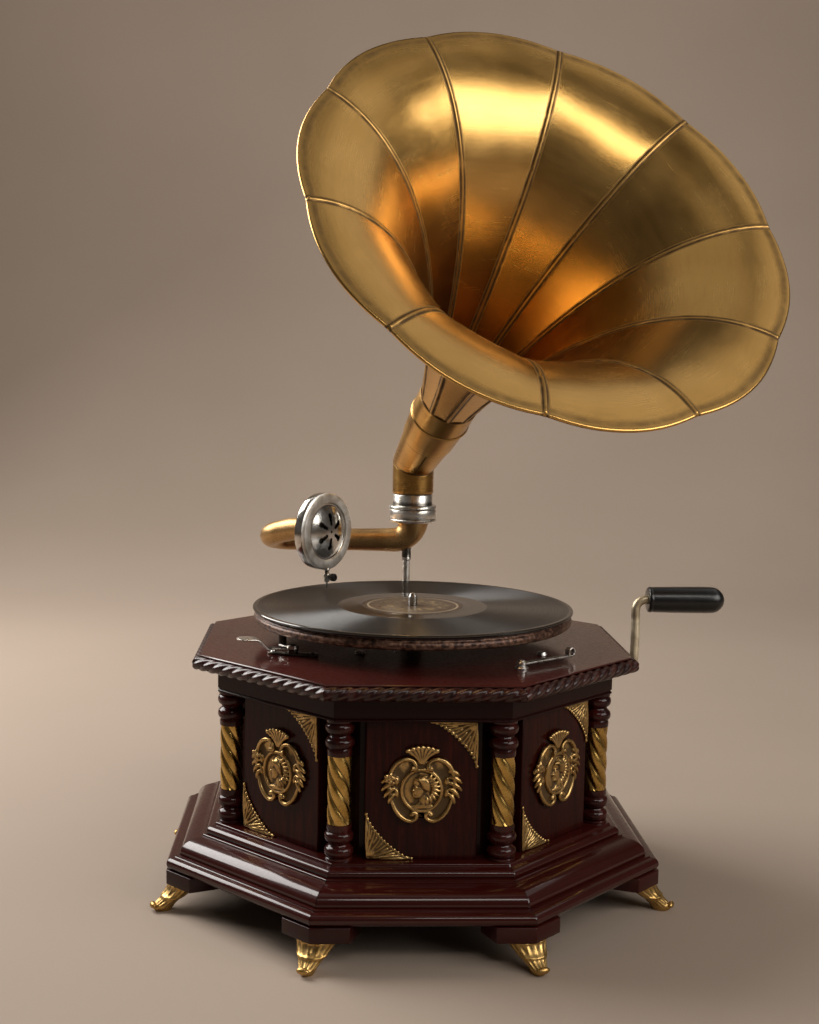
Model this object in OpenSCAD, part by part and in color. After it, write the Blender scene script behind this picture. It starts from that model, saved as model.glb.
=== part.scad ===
// Wind-up gramophone: eight-sided lacquered cabinet, spring motor, turntable
// with a ten-inch record, swinging arm with soundbox, and a ten-petal brass horn.
// Millimetres, +Z up, front to -Y, origin on the floor under the spindle.

/* [Cabinet] */
// Height of the cast brass feet
foot_h = 19; // [14:1:30]
// Radius from the spindle to the toe tips
toe_r = 211; // [206:1:216]
// Height of the blocks that the feet are screwed to
block_h = 11; // [6:1:16]
// Height of the bottom rail with its bead
rail_h = 10; // [8:1:14]
// Half width across flats at the bottom rail's bead
rail_a = 183.5; // [178:0.5:190]
// Height of the rounded plinth moulding
moulding_h = 13.5; // [10:0.5:20]
// Height of the plinth cap that the columns stand on
cap_h = 8; // [6:0.5:12]
// Height of the panels and columns
body_h = 99; // [85:1:115]
// Half width across flats at the panel faces
panel_a = 140; // [137:0.5:142]
// Width of one panel
panel_w = 78; // [70:1:82]
// Thickness of one panel
panel_t = 10; // [8:0.5:12]
// Thickness of the carcass boards behind the panels
carcass_t = 12; // [9:0.5:14]
// Height of the frieze boards
frieze_h = 19.5; // [19:0.5:26]
// Half width across flats at the frieze
frieze_a = 147; // [145:0.5:149]
// Thickness of the frieze boards
frieze_t = 20; // [14:1:23]
// Thickness of the top board
top_t = 9.5; // [8:0.5:14]
// Half width across flats at the top board's edge
top_a = 156.5; // [154:0.5:158]
// Radius of the rope moulding
rope_r = 5.25; // [4:0.25:6]
// Gap left at each mitre
mitre_gap = 0.15; // [0.1:0.05:0.3]

/* [Columns and ornaments] */
// Largest radius of a turned column
column_r = 10.3; // [9:0.1:10.8]
// Radius of the wood inside the brass sleeve
column_core_r = 6.8; // [5:0.1:7.2]
// Half width across flats of the ring of columns
column_a = 137; // [136:0.5:138]
// Length of the twisted brass sleeve
sleeve_h = 50; // [40:1:60]
// Outer radius of the sleeve's ribs
sleeve_r = 8.5; // [8:0.1:9.5]
// Ribs around one sleeve
sleeve_ribs = 5; // [4:1:8]
// Turn of the ribs from the sleeve's top to its foot, in degrees
sleeve_twist = 250; // [120:10:300]
// Width of a medallion
medallion_w = 56; // [48:1:60]
// Height of a medallion's centre above the panel's foot
medallion_rise = 54.5; // [48:0.5:60]
// Leg length of a corner ornament
corner_leg = 32; // [26:1:36]

/* [Motor] */
// Radius of the spring drum
drum_r = 35; // [30:0.5:36]
// Height of the spring drum
drum_h = 30; // [24:1:32]
// Thickness of the motor plates
plate_t = 3; // [2:0.5:4]
// Height of the bottom plate's underside above the plinth cap
motor_rise = 18.5; // [12:0.5:20]
// Distance between the plates
plate_gap = 57; // [57:0.5:60]
// Radius of the motor pillars
pillar_r = 4; // [3:0.25:5]
// Radius of the arbors
arbor_r = 4; // [3.5:0.1:4.5]

/* [Crank] */
// Radius of the crank rod
crank_r = 3.5; // [3:0.1:4]
// Height of the crank axis above the frieze's lower edge
crank_rise = 6.5; // [6:0.25:7]
// Distance from the spindle to the crank's upright
crank_x = 176.5; // [173:0.5:182]
// Throw of the crank
crank_throw = 55; // [45:1:60]
// Radius of the grip
grip_r = 10.5; // [8:0.25:12]
// Length of the grip
grip_l = 61; // [50:1:75]

/* [Turntable] */
// Record radius
record_r = 125; // [124:0.5:126]
// Record thickness
record_t = 2.2; // [1.8:0.1:2.6]
// Paper label radius
label_r = 39; // [36:0.5:42]
// Radius of the pin that centres the record
pin_r = 3.6; // [3.4:0.05:3.7]
// Platter radius
platter_r = 124; // [120:0.5:124.5]
// Depth of the platter's turned-down rim
platter_rim_h = 7.7; // [6:0.1:9]
// Height of the platter rim's lower edge above the board
platter_rise = 15.5; // [14:0.5:20]
// Felt thickness
felt_t = 1.3; // [1:0.1:2]

/* [Arm, soundbox and horn] */
// Arm post place behind the record
post_y = 140; // [139:0.5:142]
// Arm post place to the side
post_x = 1.8; // [1:0.1:3]
// Radius of the arm post
post_r = 3.3; // [3:0.1:4]
// Side place of the collar that carries the horn
collar_x = 6.7; // [6:0.1:7.5]
// Height of the arm tube's axis above the board
arm_rise = 60.5; // [58:0.5:64]
// Radius of the arm tube
arm_r = 9.6; // [9:0.1:10]
// Wall of the arm tube
arm_wall = 2.6; // [2.4:0.1:2.8]
// Bend radius under the collar
elbow_r = 16; // [15:0.5:18]
// Bend radius of the gooseneck
gooseneck_r = 18; // [16:0.5:20]
// Radius of the soundbox
soundbox_r = 32; // [29:0.5:33]
// Thickness of the soundbox
soundbox_t = 13.5; // [12:0.5:15]
// Angle that the soundbox faces, from +X
soundbox_turn = -37.7; // [-45:0.1:-30]
// Height of the soundbox centre above the needle's tip
needle_drop = 48; // [46:0.5:50]
// Radius of the horn pipe
pipe_r = 18; // [17:0.1:19]
// Elevation of the horn's axis
horn_tilt = 37.3; // [34:0.1:40]
// Turn of the horn's axis from the front toward +X
horn_yaw = 18.7; // [10:0.1:25]
// Length of the horn from its mitre to its rim
horn_l = 316; // [300:1:330]
// Radius of the horn's rim at the seams
rim_r = 178; // [165:1:190]
// Petals of the bell
petals = 10; // [8:1:12]
// How far a petal's rim bulges past its seams
petal_bulge = 4; // [2:0.5:8]
// Sheet thickness of the bell
horn_wall = 1; // [0.8:0.1:1.5]

/* [Clearances] */
// Radial clearance of a shaft in its bearing
run = 0.05; // [0.03:0.01:0.08]
// Gap between pieces that pass each other
pass = 0.4; // [0.3:0.05:0.6]
// Thickness taken off each gear tooth
backlash = 0.35; // [0.3:0.05:0.45]

/* [Hidden] */
$fn = 48;
t22 = tan(22.5);
foot_top = min(rail_a / cos(22.5), toe_r - 7.4);
z_block = foot_h;
z_rail = z_block + block_h;
z_moulding = z_rail + rail_h;
z_cap = z_moulding + moulding_h;
z_body = z_cap + cap_h;
z_frieze = z_body + body_h;
z_top = z_frieze + frieze_h;
z_deck = z_top + top_t;
moulding_a = rail_a - 9.5;
cap_a = frieze_a + 1.6;
carcass_a = panel_a - panel_t;
carcass_in = carcass_a - carcass_t;
column_ring = column_a / cos(22.5);
rope_a = top_a + 4;
rope_z = z_deck - rope_r + 0.5;
sleeve_z = z_body + (body_h - sleeve_h) / 2 + 1;
ornament_seat = panel_a;

plate_z = z_body + motor_rise;
plate_top = plate_z + plate_t + plate_gap;
plate_x = [-48, 100];
plate_y = 64;
pillars = [for (x = [plate_x[0] + 6, plate_x[1] - 6], y = [-57, 57]) [x, y]];

gear_m = 1.25;
pinion_n = 12;
barrel_n = 72;
idler_n = 60;
worm_n = 20;
bevel_n = [14, 28];
bevel_m = 1.5;
barrel_x = 58;
barrel_i = (barrel_n + pinion_n) * gear_m / 2;
idler_s = (idler_n + pinion_n) * gear_m / 2;
idler_x = (barrel_x * barrel_x + idler_s * idler_s - barrel_i * barrel_i) / (2 * barrel_x);
idler_y = sqrt(idler_s * idler_s - idler_x * idler_x);
drum_z = plate_z + plate_t + 5;
barrel_z = drum_z + drum_h;
barrel_t = 5;
idler_z = barrel_z + barrel_t + 4;
idler_t = 4;
worm_z = drum_z + 16;
worm_r = 5.1;
worm_x = -(worm_n * gear_m / 2 + worm_r);
worm_lead = PI * gear_m;
governor_y = [-59, 17];

crank_z = z_frieze + crank_rise;
grip_z = crank_z + crank_throw;
grip_x = crank_x + 9;
pinion_big = bevel_n[0] * bevel_m / 2;
wheel_big = bevel_n[1] * bevel_m / 2;
bevel_face = 7;

platter_z = z_deck + platter_rise;
platter_top = platter_z + platter_rim_h;
record_z = platter_top + felt_t;
record_top = record_z + record_t;
hub_z = platter_z - 6;
hub_r = 9;
spindle_r = 4.4;

arm_z = z_deck + arm_rise;
collar_z = arm_z + elbow_r;
needle_z = record_top + 0.3;
needle_x = -68;
needle_y = 75.6;
needle_out = 5;
soundbox_n = [cos(soundbox_turn), sin(soundbox_turn)];
soundbox = [needle_x - needle_out * soundbox_n[0], needle_y - needle_out * soundbox_n[1], needle_z + needle_drop];
swivel_x = -55;
spigot_r = arm_r - 1.6;
spigot_l = 1.5 * arm_r - 0.4;
boss_l = 9;
box_spigot_r = 6.4;
goose_lip = 0.5;
spigot_in = soundbox_t / 2 + boss_l;
goose_c = [soundbox[0] + (gooseneck_r - (post_y - gooseneck_r - soundbox[1]) * soundbox_n[0]) / -soundbox_n[1], post_y - gooseneck_r];
pivot_r = 2.5;
pivot_z = arm_z - 18;

goose_turn = 90 + 180 + soundbox_turn;
goose_arc = gooseneck_r * (180 + soundbox_turn) * PI / 180;
goose_exit = goose_c + gooseneck_r * [cos(goose_turn), sin(goose_turn)];
goose_run = norm([soundbox[0], soundbox[1]] - spigot_in * soundbox_n - goose_exit);

collar_low = 15.4;
collar_high = 9.6;
pipe_z = collar_z + collar_low + collar_high;
mitre_z = pipe_z + 26.5;
socket_r = pipe_r - 2;
bell_s = 98;
bell_r = 25.5;
horn_n = [cos(horn_tilt) * sin(horn_yaw), -cos(horn_tilt) * cos(horn_yaw), sin(horn_tilt)];
horn_u = [cos(horn_yaw), sin(horn_yaw), 0];
horn_v = cross(horn_n, horn_u);
horn_e = [collar_x, post_y, mitre_z];
seam_turn = 143.9;

neck_stages = [[43, 22], [73, 25]];
bell_curve = [[bell_s, bell_r - horn_wall / 2], [bell_s + 134.8, bell_r + 27.8], [horn_l - 2.4, rim_r - 67.3], [horn_l, rim_r]];

flange_r = 12;
brake_turn = 215;
brake_pivot = 112;
brake_at = brake_pivot * [cos(brake_turn), sin(brake_turn)];
speed_at = [72, -107];
speed_turn = 37;
speed_l = 50;
flange_screw_r = 8.6;
brake_screws = [for (s = [-1, 1]) brake_at + s * 15 * [cos(brake_turn - 50), sin(brake_turn - 50)]];
deck_screw_places = concat([for (a = [30:120:270]) [post_x, post_y] + flange_screw_r * [cos(a), sin(a)]], brake_screws);
brake_arm = 14;
tab_rise = 8;
tab_w = 13;

wood = [0.22, 0.04, 0.03];
lacquer = [0.28, 0.05, 0.04];
brass = [0.72, 0.53, 0.23];
horn_brass = [0.78, 0.58, 0.24];
bronze = [0.66, 0.46, 0.24];
chrome = [0.78, 0.78, 0.80];
steel = [0.55, 0.55, 0.57];
black = [0.03, 0.03, 0.03];

// Shared shapes

module eight(a) rotate(22.5) circle(r = a / cos(22.5), $fn = 8);

module each_side() for (i = [0:7]) rotate(45 * i) children();

module each_corner() for (i = [0:7]) rotate(45 * i + 22.5) children();

// Plan of one mitred board between two half widths
module mitred_plan(a_in, a_out)
    polygon([[a_in, mitre_gap - a_in * t22], [a_out, mitre_gap - a_out * t22],
        [a_out, a_out * t22 - mitre_gap], [a_in, a_in * t22 - mitre_gap]]);

// One mitred length of a moulding, from its section in half width and height
module mitred_length(section, a_in, a_out, z, h)
    intersection() {
        rotate([90, 0, 0]) linear_extrude(3 * a_out * t22, center = true) polygon(section);
        translate([0, 0, z - 1]) linear_extrude(h + 2) mitred_plan(a_in - 1, a_out + 1);
    }

// Polyhedron through rings of equal count, closed at both ends
module loft(rings) {
    n = len(rings[0]);
    m = len(rings);
    polyhedron([for (r = rings) each r], concat(
        [[for (k = [0:n - 1]) k]],
        [for (j = [0:m - 2], k = [0:n - 1]) each [
            [j * n + k, (j + 1) * n + k, (j + 1) * n + (k + 1) % n],
            [j * n + k, (j + 1) * n + (k + 1) % n, j * n + (k + 1) % n]]],
        [[for (k = [n - 1:-1:0]) (m - 1) * n + k]]));
}

// Open-ended shell through outer and inner rings of equal count
module shell(outer, inner) {
    n = len(outer[0]);
    m = len(outer);
    b = m * n;
    polyhedron(concat([for (r = outer) each r], [for (r = inner) each r]), concat(
        [for (j = [0:m - 2], k = [0:n - 1]) let (q = (k + 1) % n) each [
            [j * n + k, (j + 1) * n + k, (j + 1) * n + q], [j * n + k, (j + 1) * n + q, j * n + q],
            [b + j * n + k, b + (j + 1) * n + q, b + (j + 1) * n + k], [b + j * n + k, b + j * n + q, b + (j + 1) * n + q]]],
        [for (k = [0:n - 1]) let (q = (k + 1) % n, e = (m - 1) * n) each [
            [k, q, b + q], [k, b + q, b + k], [e + k, b + e + q, e + q], [e + k, b + e + k, b + e + q]]]));
}

// Outline of an involute gear; g is the pitch cone's angle, 0 for a spur gear
function inv(a) = tan(a) * 180 / PI - a;
function tooth_r(r, h, g) = (r + h * cos(g)) / (1 - h * sin(g) * tan(g) / r);
function gear_outline(n, m, g = 0, slack = backlash) = let (
    r = n * m / 2, rv = r / cos(g), rb = rv * cos(20),
    half = (PI * m / 2 - slack) / 2 / rv * 180 / PI)
    [for (i = [0:n - 1], s = [-1, 1], j = [0:4]) let (
        k = s < 0 ? j : 4 - j,
        rr = k == 0 ? rv - 1.25 * m : rb + (rv + m - rb) * (k - 1) / 3,
        off = half + inv(20) - (rr > rb ? inv(acos(rb / rr)) : 0),
        h = rr - rv,
        a = i * 360 / n + s * off * rr / (r + h * cos(g)))
        tooth_r(r, h, g) * [cos(a), sin(a)]];

function bezier(p, u) = pow(1 - u, 3) * p[0] + 3 * pow(1 - u, 2) * u * p[1] + 3 * (1 - u) * u * u * p[2] + u * u * u * p[3];
function ease(u) = let (q = min(1, max(0, u))) q * q * (3 - 2 * q);

// Base

// Claw foot: wide under the block, narrowing down to an upturned toe
module foot() {
    stages = [[foot_h, foot_top - 26, foot_top - 2.5, 15.5], [foot_h * 0.72, foot_top - 19, foot_top + 0.5, 12.6],
        [foot_h * 0.42, foot_top - 10, toe_r - 7, 8.4], [foot_h * 0.2, foot_top - 6, toe_r - 2.5, 5.8], [0.4, foot_top - 4, toe_r - 4, 4.6]];
    loft([for (s = stages) let (m = (s[1] + s[2]) / 2, w = (s[2] - s[1]) / 2)
        [for (k = [0:9]) let (a = -36 * k + 18) [m + w * cos(a), s[3] * sin(a), s[0]]]]);
    translate([toe_r - 7.5, 0, 0]) cylinder(r = 3.5, h = 2);
    translate([toe_r - 2.4, 0, foot_h * 0.24]) rotate([90, 0, 0]) cylinder(r = 2.4, h = 8, center = true);
}

module feet() color(brass) each_corner() difference() {
    foot();
    translate([foot_top - 16, 0, foot_h - 12]) cylinder(r = 1.5 + run, h = 20);
    translate([foot_top - 16, 0, -1]) cylinder(r = 3.4, h = foot_h - 5);
}

module foot_screws() color(steel) each_corner() translate([foot_top - 16, 0, foot_h - 6]) {
    translate([0, 0, -1.8]) cylinder(r = 3, h = 1.8);
    translate([0, 0, -0.5]) cylinder(r = 1.5, h = 6 + block_h - 1);
}

module foot_blocks() color(wood) each_corner() {
    top = rail_a / cos(22.5);
    w = 27;
    back = foot_top - 34.2;
    q = [top - w * cos(67.5), w * sin(67.5)];
    translate([0, 0, z_block]) linear_extrude(block_h) difference() {
        polygon([[top, 0], q, [back, q[1]], [back, -q[1]], [q[0], -q[1]]]);
        translate([foot_top - 16, 0]) circle(r = 1.5 + run);
    }
}

module bottom_board() color(wood) translate([0, 0, z_rail])
    linear_extrude(rail_h) eight(rail_a - 24 - mitre_gap);

module plinth_rails() color(lacquer) {
    bead = rail_h * 0.43;
    section = concat([[rail_a - 24, z_rail], [rail_a - bead, z_rail]],
        [for (a = [-80:20:80]) [rail_a - bead + bead * cos(a), z_rail + bead + bead * sin(a)]],
        [[rail_a - bead - 2, z_rail + 2 * bead], [rail_a - bead - 2, z_rail + rail_h], [rail_a - 24, z_rail + rail_h]]);
    each_side() mitred_length(section, rail_a - 24, rail_a, z_rail, rail_h);
}

module plinth_moulding() color(lacquer) {
    drop = moulding_a - cap_a - 10;
    section = concat([[cap_a, z_moulding]],
        [for (a = [0:15:90]) [cap_a + 10 + drop * cos(a), z_moulding + 1 + (moulding_h - 3) * sin(a)]],
        [[cap_a + 9, z_cap - 1.5], [cap_a + 9, z_cap], [cap_a - 30, z_cap], [cap_a - 30, z_moulding]]);
    each_side() mitred_length(section, cap_a - 30, moulding_a, z_moulding, moulding_h);
}

module plinth_cap() color(lacquer) {
    section = concat([[carcass_in, z_cap], [cap_a + 4, z_cap]],
        [for (a = [0:18:90]) [cap_a + 2 + 4.5 * cos(a), z_cap + 1.5 + (cap_h - 4) * sin(a)]],
        [[cap_a, z_body - 2], [cap_a, z_body], [carcass_in, z_body]]);
    each_side() mitred_length(section, carcass_in, cap_a + 7, z_cap, cap_h);
}

// Body

module carcass_boards() color(wood) {
    cut = column_ring - column_r - 1.6;
    q = cut * cos(22.5);
    s = (cut - carcass_a * cos(22.5)) / sin(22.5);
    each_side() translate([0, 0, z_body]) linear_extrude(body_h)
        polygon([[carcass_in, mitre_gap - carcass_in * t22], [q, mitre_gap - q * t22], [carcass_a, -s],
            [carcass_a, s], [q, q * t22 - mitre_gap], [carcass_in, carcass_in * t22 - mitre_gap]]);
}

module panels() color(lacquer) each_side()
    translate([carcass_a, -panel_w / 2, z_body]) cube([panel_t, panel_w, body_h]);

// Turned column: two rings at each end and a slim core for the sleeve
module column() {
    low = sleeve_z - z_body;
    high = z_frieze - sleeve_z - sleeve_h;
    ring = function (z, h) [for (a = [-75:30:75]) [column_r - h * 0.3 + h * 0.3 * cos(a), z + h / 2 + h / 2 * sin(a)]];
    rotate_extrude() polygon(concat([[0, 0], [column_r - 0.8, 0], [column_r - 0.8, low * 0.1]],
        ring(low * 0.14, low * 0.34), [[column_r - 3, low * 0.5]], ring(low * 0.53, low * 0.34),
        [[column_r - 1.6, low * 0.9], [column_r - 1.6, low], [column_core_r, low], [column_core_r, low + sleeve_h],
            [column_r - 1.6, low + sleeve_h], [column_r - 1.6, low + sleeve_h + high * 0.1]],
        ring(low + sleeve_h + high * 0.13, high * 0.34), [[column_r - 3, low + sleeve_h + high * 0.49]],
        ring(low + sleeve_h + high * 0.52, high * 0.34),
        [[column_r - 0.8, body_h - high * 0.1], [column_r - 0.8, body_h], [0, body_h]]));
}

module columns() color(lacquer) each_corner() translate([column_ring, 0, z_body]) column();

// Sheet brass sleeve with slanting round ribs, closed round the core
module column_sleeves() color(brass) each_corner() translate([column_ring, 0, sleeve_z + 0.1]) difference() {
    steps = 10;
    sink = [0.9, 0, 0];
    loft([for (j = [0:steps]) [for (k = [0:3 * sleeve_ribs - 1]) let (a = 120 * k / sleeve_ribs - sleeve_twist * j / steps, r = sleeve_r - sink[k % 3])
        [r * cos(a), r * sin(a), (sleeve_h - 0.2) * j / steps]]]);
    translate([0, 0, -1]) cylinder(r = column_core_r + run, h = sleeve_h + 2);
}

// Cartouche: backplate with leaf lobes, oval boss, four scrolls and a shell
module medallion() {
    w = medallion_w / 2;
    lobes = function (a) w * (0.80 + 0.12 * cos(4 * a) + 0.05 * cos(12 * a));
    linear_extrude(2) polygon([for (a = [0:6:354]) lobes(a) * [0.97 * cos(a), 0.94 * sin(a)]]);
    rotate_extrude() polygon([[0, 0.5], [w * 0.6, 0.5], [w * 0.6, 2.6], [w * 0.54, 3.4], [w * 0.48, 2.6], [w * 0.4, 4], [w * 0.22, 5.6], [0, 6.2]]);
    for (sx = [-1, 1], sy = [-1, 1]) translate([sx * w * 0.62, sy * w * 0.5, 1.9])
        rotate(sx > 0 ? (sy > 0 ? -60 : -30) : (sy > 0 ? 0 : 90)) rotate_extrude(angle = 240) translate([w * 0.24, 0]) circle(r = 1.6, $fn = 16);
    for (a = [-50:25:50]) rotate(90 + a) translate([w * 0.62, 0, 2.5]) rotate([0, 90, 0]) cylinder(r1 = 1, r2 = 2.2, h = w * 0.3, $fn = 20);
    for (s = [-1, 1], a = [-30:20:30]) rotate(s > 0 ? a : 180 + a) translate([w * 0.66, 0, 2.3]) rotate([0, 90, 0]) cylinder(r1 = 2, r2 = 0.9, h = w * 0.27, $fn = 20);
}

module medallions() color(brass) each_side()
    translate([ornament_seat, 0, z_body + medallion_rise]) rotate([90, 0, 90]) medallion();

// Corner ornament: right angle at the corner, scalloped long side, fan of ribs
module corner_ornament() {
    n = 5;
    g = corner_leg;
    linear_extrude(1.2) difference() {
        polygon(concat([[0, 0], [g, 0]], [for (i = [0:n], s = [0, 1]) if (i < n) let (u = (i + s * 0.9) / n)
            [g * (1 - u) - 3 * sin(180 * u) * (1 + s * 0.2), g * u - 3 * sin(180 * u) * (1 + s * 0.2)]], [[0, g]]));
        translate([g, g]) circle(r = g * 0.62);
    }
    for (i = [0:4]) rotate(9 + 18 * i) translate([4, 0, 1.7]) rotate([0, 90, 0])
        cylinder(r1 = 0.8, r2 = 1.4, h = g * (0.3 + 0.42 * pow(abs(i - 2) / 2, 1.4)), $fn = 16);
}

module corner_ornaments() color(brass) each_side() translate([ornament_seat, 0, z_body]) rotate([90, 0, 90]) {
    translate([1 - panel_w / 2, 1]) corner_ornament();
    translate([panel_w / 2 - 1, body_h - 1]) rotate(180) corner_ornament();
}

module frieze_boards() color(lacquer) difference() {
    each_side() translate([0, 0, z_frieze]) linear_extrude(frieze_h) mitred_plan(frieze_a - frieze_t, frieze_a);
    translate([0, 0, crank_z]) rotate([0, 90, 0]) cylinder(r = crank_r + 1.5 + run, h = 2 * frieze_a);
}

module top_board() color(lacquer) difference() {
    translate([0, 0, z_top]) linear_extrude(top_t) eight(top_a);
    each_side() translate([rope_a, 0, rope_z]) rotate([90, 0, 0]) cylinder(r = rope_r + run, h = 3 * top_a * t22, center = true);
    translate([0, 0, z_top - 1]) {
        cylinder(r = spindle_r + 3, h = top_t + 2);
        translate([post_x, post_y, 0]) cylinder(r = post_r + run, h = top_t + 2);
        for (p = pillars) translate(p) cylinder(r = 2 + run, h = top_t + 2);
        for (p = deck_screw_places) translate(p) cylinder(r = 1.1 + run, h = top_t + 2);
    }
}

// One mitred length of rope: four strands twisted along the side
module rope_length() {
    turns = 3.2;
    steps = 26;
    loft([for (j = [0:steps]) let (u = 2 * j / steps - 1)
        [for (k = [0:7]) let (a = -45 * k + 180 * turns * u, r = rope_r - 0.9 * (k % 2), x = rope_a + r * cos(a))
            [x, u * (x * t22 - mitre_gap), rope_z + r * sin(a)]]]);
}

module rope_moulding() color(lacquer) each_side() rope_length();

// Deck fittings

module post_flange() color(chrome) translate([post_x, post_y, z_deck]) difference() {
    rotate_extrude() polygon([[0, 0], [flange_r, 0], [flange_r, 1.6], [6.2, 2.6], [5.4, 5], [0, 5]]);
    translate([0, 0, -1]) cylinder(r = post_r + run, h = 8);
    for (a = [30:120:270]) rotate(a) translate([flange_screw_r, 0, -1]) cylinder(r = 1.1 + run, h = 6);
}

module deck_screws() color(steel) {
    for (i = [0:len(deck_screw_places) - 1]) let (seat = i < 3 ? 2.7 : 1.6) translate(deck_screw_places[i]) {
        translate([0, 0, z_deck + seat]) cylinder(r1 = 2.1, r2 = 1.5, h = 1.2);
        translate([0, 0, z_top + 1]) cylinder(r = 1.1, h = top_t - 0.5 + seat);
    }
}

// Upright rod: through the board, slimmer at the top where the arm turns on it
module arm_post() color(chrome) translate([post_x, post_y, z_top]) rotate_extrude()
    polygon([[0, 0], [post_r, 0], [post_r, pivot_z - z_top - pass], [pivot_r, pivot_z - z_top - pass], [pivot_r, pivot_z - z_top + 8], [0, pivot_z - z_top + 8.6]]);

module brake_base() color(chrome) difference() {
    translate([brake_at[0], brake_at[1], z_deck]) {
        rotate(brake_turn - 50) linear_extrude(1.6) difference() {
            union() {
                square([30, 9], center = true);
                for (s = [-1, 1]) translate([15 * s, 0]) circle(r = 4.5);
            }
            for (s = [-1, 1]) translate([15 * s, 0]) circle(r = 1.1 + run);
        }
        cylinder(r = 4, h = 4);
        cylinder(r = 2, h = 8);
    }
}

// Brake lever: hub on the base's pin, finger tab outside, pad arm under the rim
module brake_lever() color(chrome) translate([brake_at[0], brake_at[1], z_deck + 4 + pass]) {
    tab = [-127, -72] - brake_at;
    difference() {
        union() {
            cylinder(r = 4.6, h = 3);
            rotate(brake_turn - 90) translate([0, -2.6, 0]) cube([brake_arm, 5.2, 1.6]);
            rotate(atan2(tab[1], tab[0])) {
                translate([0, -3.2, 0]) cube([19, 6.4, 1.6]);
                hull() {
                    translate([17.5, -3.7, 0]) cube([1.5, 7.4, 1.6]);
                    translate([25.5, -4.9, tab_rise - 0.8]) cube([1.5, 9.8, 1.6]);
                }
                hull() {
                    translate([25.5, -4.9, tab_rise - 0.8]) cube([1.5, 9.8, 1.6]);
                    translate([41 - tab_w / 2, 0, tab_rise]) cylinder(r = tab_w / 2, h = 1.4);
                }
            }
            rotate(brake_turn - 90) translate([brake_arm, 0, 0]) cylinder(r = 3, h = 1.6);
        }
        translate([0, 0, -1]) cylinder(r = 2 + run, h = 6);
    }
}

module brake_pad() color([0.25, 0.2, 0.16]) translate([brake_at[0], brake_at[1], z_deck + 5.6 + pass])
    rotate(brake_turn - 90) translate([brake_arm, 0, 0]) cylinder(r = 3, h = platter_rise - 5.6 - pass + platter_rim_h - 5.5);

module speed_base() color(chrome) translate([speed_at[0], speed_at[1], z_deck]) {
    cylinder(r = 5, h = 1.4);
    cylinder(r = 3.4, h = 2.6);
    cylinder(r = 1.6, h = 6.4);
}

// Speed lever: thin strip with a rolled eye for the finger
module speed_lever() color(chrome) translate([speed_at[0], speed_at[1], z_deck + 2.6 + pass]) rotate(speed_turn) difference() {
    union() {
        cylinder(r = 3.6, h = 2.2);
        translate([0, -2, 0]) cube([speed_l, 4, 1.2]);
        translate([speed_l, 2, 3.4]) rotate([90, 0, 0]) difference() {
            cylinder(r = 3.4, h = 4);
            translate([0, 0, -1]) cylinder(r = 2.2, h = 6);
        }
    }
    translate([0, 0, -1]) cylinder(r = 1.6 + run, h = 5);
}

// Motor

module motor_plate(z, holes) difference() {
    translate([plate_x[0], -plate_y, z]) cube([plate_x[1] - plate_x[0], 2 * plate_y, plate_t]);
    for (h = holes) translate([h[0], h[1], z - 1]) cylinder(r = h[2] + run, h = plate_t + 2);
}

module motor_bottom_plate() color(steel)
    motor_plate(plate_z, [[0, 0, 3], [barrel_x, 0, 3], [idler_x, idler_y, 3]]);

module motor_top_plate() color(steel)
    motor_plate(plate_top, concat([[0, 0, spindle_r], [barrel_x, 0, arbor_r], [idler_x, idler_y, 3]], [for (p = pillars) [p[0], p[1], 3]]));

// Pillars between the plates, with a neck through the top plate up to the board
module motor_pillars() color(steel) for (p = pillars) translate([p[0], p[1], plate_z + plate_t]) difference() {
    union() {
        cylinder(r = pillar_r, h = plate_gap);
        cylinder(r = 3, h = plate_gap + plate_t + 1);
        translate([0, 0, plate_gap + plate_t]) cylinder(r = pillar_r, h = z_top - plate_top - plate_t);
    }
    translate([0, 0, z_top - plate_z - plate_t - 1.9 * top_t]) cylinder(r = 2 + run, h = 2.1 * top_t);
}

module motor_bolts() color(steel) for (p = pillars) translate([p[0], p[1], z_deck]) {
    cylinder(r1 = 4.2, r2 = 3.4, h = 2);
    translate([0, 0, -2.6 * top_t]) cylinder(r = 2, h = 2.6 * top_t + 1);
}

module governor_bearings() color(steel) for (y = governor_y) difference() {
    translate([worm_x - 2 * plate_t, y - 2, plate_z + plate_t]) cube([4 * plate_t, 4, worm_z - plate_z + plate_t]);
    translate([worm_x, y - 3, worm_z]) rotate([-90, 0, 0]) cylinder(r = 2 + run, h = 6);
}

module crank_bearing() color(steel) difference() {
    union() {
        translate([86, -3 * plate_t, plate_top + plate_t]) cube([6, 6 * plate_t, crank_z - plate_top - plate_t]);
        translate([86, 0, crank_z]) rotate([0, 90, 0]) cylinder(r = 3 * plate_t, h = 6);
        translate([80, -3 * plate_t, plate_top + plate_t]) cube([18, 6 * plate_t, 2.5]);
    }
    translate([80, 0, crank_z]) rotate([0, 90, 0]) cylinder(r = crank_r + run, h = 20);
}

// Wrap spring that grips the shaft against unwinding, hooked to the bearing
module check_spring() color(steel) {
    curls = 8;
    wire = 0.8;
    r = crank_r + pass + wire;
    pts = concat([for (j = [0:curls * 10]) let (a = 36 * j) [93.3 + 2.1 * j / 10, r * sin(a), crank_z + r * cos(a)]]);
    loft([for (j = [0:len(pts) - 1]) let (a = 36 * j, out = [0, sin(a), cos(a)])
        [for (k = [0:5]) pts[j] + wire * (cos(60 * k) * out + sin(60 * k) * [1, 0, 0])]]);
    translate([92, -1, crank_z + r - wire]) cube([1.7, 2, 1.6]);
}

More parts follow.
